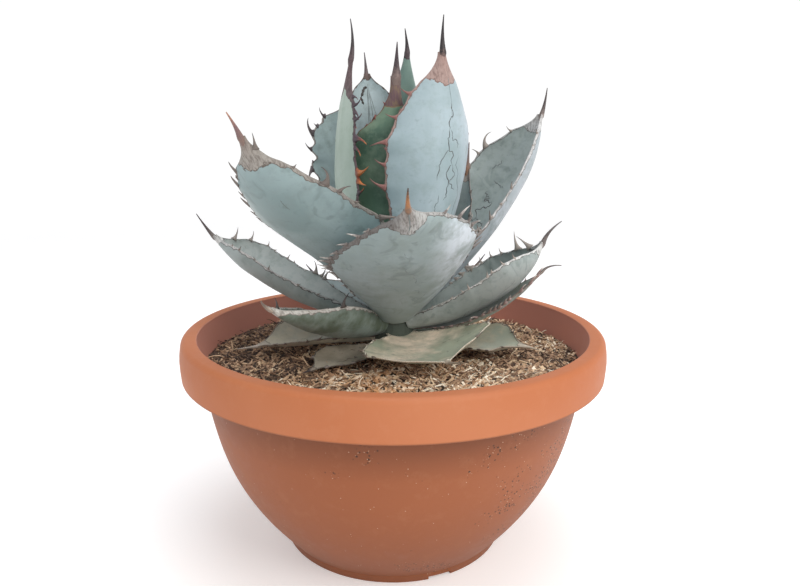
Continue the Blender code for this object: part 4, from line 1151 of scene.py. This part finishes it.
def smallTeethArrays(tree, tooth, blade, horn):
    # instances the small tooth on the margin points and returns plain arrays
    seeds = []
    for side, sign, column in (("teethLeft", 1.0, -1), ("teethRight", -1.0, 0)):
        for place, size, lean in blade["small"][side]:
            row = int(round(rowOf(blade, place)))
            turn = math.radians(lean)
            aim = blade["sideways"][side][row] * math.cos(turn) + blade["along"][row] * math.sin(turn)
            flat = blade["outward"][row, column] * (-sign if lean >= 0 else sign)
            seeds.append((blade["rims"][side][row] - 0.5 * blade["sideways"][side][row], aim, flat, size))
    carrier = addMesh("toothSeeds", [seed[0] for seed in seeds], [])
    storeValues(carrier.data, "aim", [seed[1] for seed in seeds], "FLOAT_VECTOR")
    storeValues(carrier.data, "flat", [seed[2] for seed in seeds], "FLOAT_VECTOR")
    storeValues(carrier.data, "size", [seed[3] * mm for seed in seeds])
    modifier = carrier.modifiers.new("teeth", "NODES")
    setInputs(modifier, tree, {"Tooth": tooth, "Stoutness": 1.0, "Material": horn})
    done = bakeToMesh(carrier, "teeth")
    points = np.zeros(len(done.data.vertices) * 3)
    done.data.vertices.foreach_get("co", points)
    growth = np.zeros(len(done.data.vertices))
    done.data.attributes["grow"].data.foreach_get("value", growth)
    faces = [tuple(p.vertices) for p in done.data.polygons]
    bpy.data.objects.remove(done)
    return points.reshape(-1, 3) / mm, faces, growth


# the leaves: their materials

def waxySkin(name, look, seed):
    # glaucous leaf: a pale wax bloom over a green cuticle, with cork where the margin has hardened
    material, tree, shader = newMaterial(name, {"IOR": 1.42, "Sheen Weight": 0.1, "Sheen Roughness": 0.5})
    place = addNode(tree, "ShaderNodeAttribute", attribute_name="leafPlace").outputs["Vector"]
    xyz = addNode(tree, "ShaderNodeSeparateXYZ", {0: place}).outputs
    shifted = addNode(tree, "ShaderNodeVectorMath", {0: place, 1: (0.37 * seed, 0.61 * seed, 0.0)},
                      operation="ADD").outputs[0]
    broad = addNode(tree, "ShaderNodeTexNoise", {
        "Vector": shifted, "Scale": 14.0, "Detail": 4.0, "Distortion": 0.4}).outputs[0]
    colour = layTint(tree, toLinear(look["skin"]), broad, 0.4, 0.6, 1.0, look["shade"])
    # painted shade: the upper face is darker on leaves that list a tint for it
    if look["inner"]:
        colour = layTint(tree, colour, xyz[2], 0.5, 1.0, 0.85, look["inner"])
    if look["sideHighlight"]:
        # painted highlight: paler towards one side of the blade
        tint, begin, full = look["sideHighlight"]
        highlightShare = addNode(tree, "ShaderNodeMapRange", {0: xyz[0], 1: begin * mm, 2: full * mm, 4: 0.75},
                             interpolation_type="SMOOTHSTEP").outputs[0]
        colour = addNode(tree, "ShaderNodeMix", {0: highlightShare, 6: colour, 7: toLinear(tint)},
                         data_type="RGBA").outputs[2]
    # streaks along the blade, 3 mm wide and 60 mm long
    stretched = addNode(tree, "ShaderNodeVectorMath", {0: shifted, 1: (190.0, 9.0, 1.0)},
                        operation="MULTIPLY").outputs[0]
    streaks = addNode(tree, "ShaderNodeTexNoise", {
        "Vector": stretched, "Scale": 1.0, "Detail": 3.0}).outputs[0]
    colour = layTint(tree, colour, streaks, 0.45, 0.75, 0.35, look["shade"])
    if look["stain"]:
        # dried or dirty patches, about 25 mm across at the usual scale
        stains = addNode(tree, "ShaderNodeTexNoise", {
            "Vector": shifted, "Scale": look["stainScale"], "Detail": 5.0, "Roughness": 0.6}).outputs[0]
        colour = layTint(tree, colour, stains, 0.45, 0.6, 0.85, look["stain"])
    # the bloom is rubbed off in patches and small marks
    rubbed = addNode(tree, "ShaderNodeTexNoise", {
        "Vector": shifted, "Scale": 70.0, "Detail": 8.0, "Roughness": 0.7}).outputs[0]
    colour = layTint(tree, colour, rubbed, 0.48, 0.66, 0.5, look["bare"])
    # soft bruises about 15 mm across
    bruises = addNode(tree, "ShaderNodeTexNoise", {
        "Vector": shifted, "Scale": 48.0, "Detail": 3.0, "Distortion": 1.6}).outputs[0]
    colour = layTint(tree, colour, bruises, 0.56, 0.68, look["bruise"], look["bruiseTint"])
    # flecks of dirt and old bites, 2 to 6 mm, in loose groups
    flecks = addNode(tree, "ShaderNodeTexNoise", {
        "Vector": shifted, "Scale": 130.0, "Detail": 6.0, "Roughness": 0.75}).outputs[0]
    groups = addNode(tree, "ShaderNodeMapRange", {0: broad, 1: 0.62, 2: 0.42}).outputs[0]
    flecks = addNode(tree, "ShaderNodeMapRange", {0: flecks, 1: 0.57, 2: 0.66, 4: look["fleck"]}).outputs[0]
    flecks = addNode(tree, "ShaderNodeMath", {0: flecks, 1: groups}, operation="MULTIPLY").outputs[0]
    colour = addNode(tree, "ShaderNodeMix", {0: flecks, 6: colour, 7: toLinear(look["fleckTint"])},
                     data_type="RGBA").outputs[2]
    # cork at the margins and round the tip, ragged, with a thin dark border
    margin = addNode(tree, "ShaderNodeAttribute", attribute_name="cork").outputs["Fac"]
    cap = addNode(tree, "ShaderNodeAttribute", attribute_name="cap").outputs["Fac"]
    rag = addNode(tree, "ShaderNodeTexNoise", {
        "Vector": shifted, "Scale": 150.0, "Detail": 3.0, "Roughness": 0.5}).outputs[0]
    rag = addNode(tree, "ShaderNodeMapRange", {0: rag, 1: 0.3, 2: 0.7, 3: -look["rag"], 4: look["rag"]},
                  clamp=False).outputs[0]
    margin = addNode(tree, "ShaderNodeMath", {0: margin, 1: rag}, operation="ADD").outputs[0]
    capRag = addNode(tree, "ShaderNodeMath", {0: rag, 1: 1.6, 2: cap}, operation="MULTIPLY_ADD").outputs[0]
    ragged = addNode(tree, "ShaderNodeMath", {0: margin, 1: capRag}, operation="MAXIMUM").outputs[0]
    corkShare = addNode(tree, "ShaderNodeMapRange", {0: ragged, 1: 0.0, 2: 0.2}).outputs[0]
    border = addNode(tree, "ShaderNodeMapRange", {0: ragged, 1: 1.2, 2: 0.6, 4: 0.9}).outputs[0]
    # cork grain under 1 mm, longer along the blade
    grainPlace = addNode(tree, "ShaderNodeVectorMath", {0: shifted, 1: (1.0, 0.25, 1.0)},
                         operation="MULTIPLY").outputs[0]
    fine = addNode(tree, "ShaderNodeTexNoise", {
        "Vector": grainPlace, "Scale": 640.0, "Detail": 5.0, "Roughness": 0.65}).outputs[0]
    dark = addNode(tree, "ShaderNodeMapRange", {0: fine, 1: 0.45, 2: 0.65, 4: 0.75}).outputs[0]
    dark = addNode(tree, "ShaderNodeMath", {0: dark, 1: border}, operation="MAXIMUM").outputs[0]
    # painted shade: the cork of one side is darker on blades that list a tint for it
    corkShadeSide = look["corkShadeSide"] or look["cork"]
    cork = layTint(tree, toLinear(look["cork"]), xyz[0], 0.0, -0.012, 1.0, corkShadeSide)
    cork = layTint(tree, cork, cap, 0.4 * look["cap"], look["cap"] + 3.0, 0.6, look["spineBase"])
    cork = addNode(tree, "ShaderNodeMix", {0: dark, 6: cork, 7: toLinear(look["corkDark"])},
                   data_type="RGBA").outputs[2]
    colour = addNode(tree, "ShaderNodeMix", {0: corkShare, 6: colour, 7: cork},
                     data_type="RGBA").outputs[2]
    # healed cracks and the faint prints of neighbouring leaves
    scar = addNode(tree, "ShaderNodeAttribute", attribute_name="scar").outputs["Fac"]
    healed = addNode(tree, "ShaderNodeMapRange", {0: rubbed, 1: 0.42, 2: 0.58, 3: 1.0, 4: 0.35}).outputs[0]
    scar = addNode(tree, "ShaderNodeMath", {0: scar, 1: healed}, operation="MULTIPLY").outputs[0]
    colour = addNode(tree, "ShaderNodeMix", {0: scar, 6: colour, 7: toLinear(look["scarTint"])},
                     data_type="RGBA").outputs[2]
    tree.links.new(colour, shader.inputs["Base Color"])
    roughness = addNode(tree, "ShaderNodeMapRange", {0: corkShare, 3: 0.52, 4: 0.85}).outputs[0]
    tree.links.new(roughness, shader.inputs["Roughness"])
    # the cork stands proud with its grain, and the streaks are faint ridges
    relief = addNode(tree, "ShaderNodeMath", {0: fine, 1: corkShare}, operation="MULTIPLY").outputs[0]
    for field, amount in ((corkShare, 0.6), (streaks, 0.12)):
        relief = addNode(tree, "ShaderNodeMath", {0: field, 1: amount, 2: relief},
                         operation="MULTIPLY_ADD").outputs[0]
    bump = addNode(tree, "ShaderNodeBump", {"Strength": 0.6, "Distance": 0.0007, "Height": relief})
    tree.links.new(bump.outputs[0], shader.inputs["Normal"])
    return material


def hornySpine(name, base, dark, tip, full):
    # hard smooth horn of spines and teeth: its colour runs from the root through the shaft to the point
    material, tree, shader = newMaterial(name, {"Roughness": 0.5})
    grow = addNode(tree, "ShaderNodeAttribute", attribute_name="grow").outputs["Fac"]
    place = addNode(tree, "ShaderNodeTexCoord").outputs["Object"]
    noise = addNode(tree, "ShaderNodeTexNoise", {"Vector": place, "Scale": 450.0, "Detail": 3.0}).outputs[0]
    wobble = addNode(tree, "ShaderNodeMapRange", {
        0: noise, 1: 0.3, 2: 0.7, 3: -0.12, 4: 0.12}).outputs[0]
    height = addNode(tree, "ShaderNodeMath", {0: grow, 1: wobble}, operation="ADD").outputs[0]
    ramp = addNode(tree, "ShaderNodeValToRGB", {0: height})
    stops = ramp.color_ramp.elements
    stops[0].position, stops[0].color = full - 0.34, toLinear(base)
    stops[1].position, stops[1].color = full, toLinear(dark)
    stops.new(0.95).color = toLinear(tip)
    tree.links.new(ramp.outputs[0], shader.inputs["Base Color"])
    return material


def boxShift(node, points):
    # brings the blade and its spine to the middle of the node's own box, in millimetres
    low, high = (np.array(corner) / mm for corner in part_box(node))
    return 0.5 * (low + high) - 0.5 * (points.min(0) + points.max(0))


def makeLeaf(node, growth, finish, seed, tree, tooth):
    grow = {**growthUsual, **growth}
    look = {**finishUsual, **finish}
    rng = np.random.default_rng(seed)
    blade = bladeArrays(grow, look, rng)
    whole = [values[blade["t"] >= 0].reshape(-1, 3) for values in blade["sides"].values()]
    shift = boxShift(node, np.concatenate(whole + [spineArrays(grow, look, blade)[0]]))
    for key in ("points", "middle"):
        blade[key] = blade[key] + shift
    for group in ("rims", "sides"):
        blade[group] = {name: values + shift for name, values in blade[group].items()}
    skin = waxySkin(node + "_skin", look, seed)
    toothRoot = look["toothRoot"] or look["tooth"]
    teethHorn = hornySpine(node + "_teeth", toothRoot, look["tooth"], look["toothTip"], toothFull)
    shaft = look["spineDark"]
    spineTip = look["spineTip"] or shaft
    spineHorn = hornySpine(node + "_spine", look["spineBase"], shaft, spineTip, look["hornDark"])
    bladePoints = len(blade["points"])
    parts = [(blade["points"], blade["faces"], np.zeros(bladePoints), 0, 0.0)]
    for scar in look["scars"]:
        points, faces, growthAlong, dark = scarArrays(grow, blade, rng, scar)
        parts.append((points, faces, growthAlong, 0, dark))
    parts.append((*smallTeethArrays(tree, tooth, blade, teethHorn), 1, 0.0))
    for side in ("teethLeft", "teethRight"):
        parts += [(*toothArrays(blade, side, one), 1, 0.0) for one in look[side]]
    parts.append((*spineArrays(grow, look, blade), 2, 0.0))
    allFaces, slots, offset = [], [], 0
    for points, faces, along, slot, dark in parts:
        allFaces += [tuple(int(i) + offset for i in f) for f in faces]
        slots += [slot] * len(faces)
        offset += len(points)
    leaf = addMesh(node + "_leaf", np.concatenate([part[0] for part in parts]).tolist(), allFaces)
    mesh = leaf.data
    mesh.polygons.foreach_set("material_index", slots)
    extra = offset - bladePoints
    leafPlace = np.concatenate([blade["leafPlace"], np.zeros((extra, 3))])
    storeValues(mesh, "leafPlace", leafPlace, "FLOAT_VECTOR")
    storeValues(mesh, "cork", np.append(blade["cork"], np.full(extra, outsideCork)))
    storeValues(mesh, "cap", np.append(blade["cap"], np.full(extra, outsideCork)))
    storeValues(mesh, "grow", np.concatenate([part[2] for part in parts]))
    storeValues(mesh, "scar", np.concatenate([np.full(len(part[0]), part[4]) for part in parts]))
    for material in (skin, teethHorn, spineHorn):
        mesh.materials.append(material)
    mesh.shade_smooth()
    joinFrame(leaf, node)


tooth = claw()
teeth = toothTree()
for number, (node, growth) in enumerate(leafGrowth.items()):
    makeLeaf(node, growth, leafFinish.get(node, {}), number + 1, teeth, tooth)
bpy.data.objects.remove(tooth)
print("leaves:", len(leafGrowth))

# the short stem between the leaf bases: painted shade, dark green-grey with a fibrous grain
stemShadeSet = dict(fibre="#535E55", fibreDark="#3A423C", grain=160.0)
shadedStem, stemTree, stemShader = newMaterial("shadedStem", {"Roughness": 0.8})
stemPlace = addNode(stemTree, "ShaderNodeTexCoord").outputs["Object"]
stemNoise = addNode(stemTree, "ShaderNodeTexNoise", {"Vector": stemPlace, "Scale": stemShadeSet["grain"]})
stemShadeColour = addNode(stemTree, "ShaderNodeMix", {
    0: stemNoise.outputs[0], 6: toLinear(stemShadeSet["fibre"]), 7: toLinear(stemShadeSet["fibreDark"])},
    data_type="RGBA").outputs[2]
stemTree.links.new(stemShadeColour, stemShader.inputs["Base Color"])
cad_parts["stem"].data.materials.clear()
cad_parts["stem"].data.materials.append(shadedStem)
print("stem: fibrous")
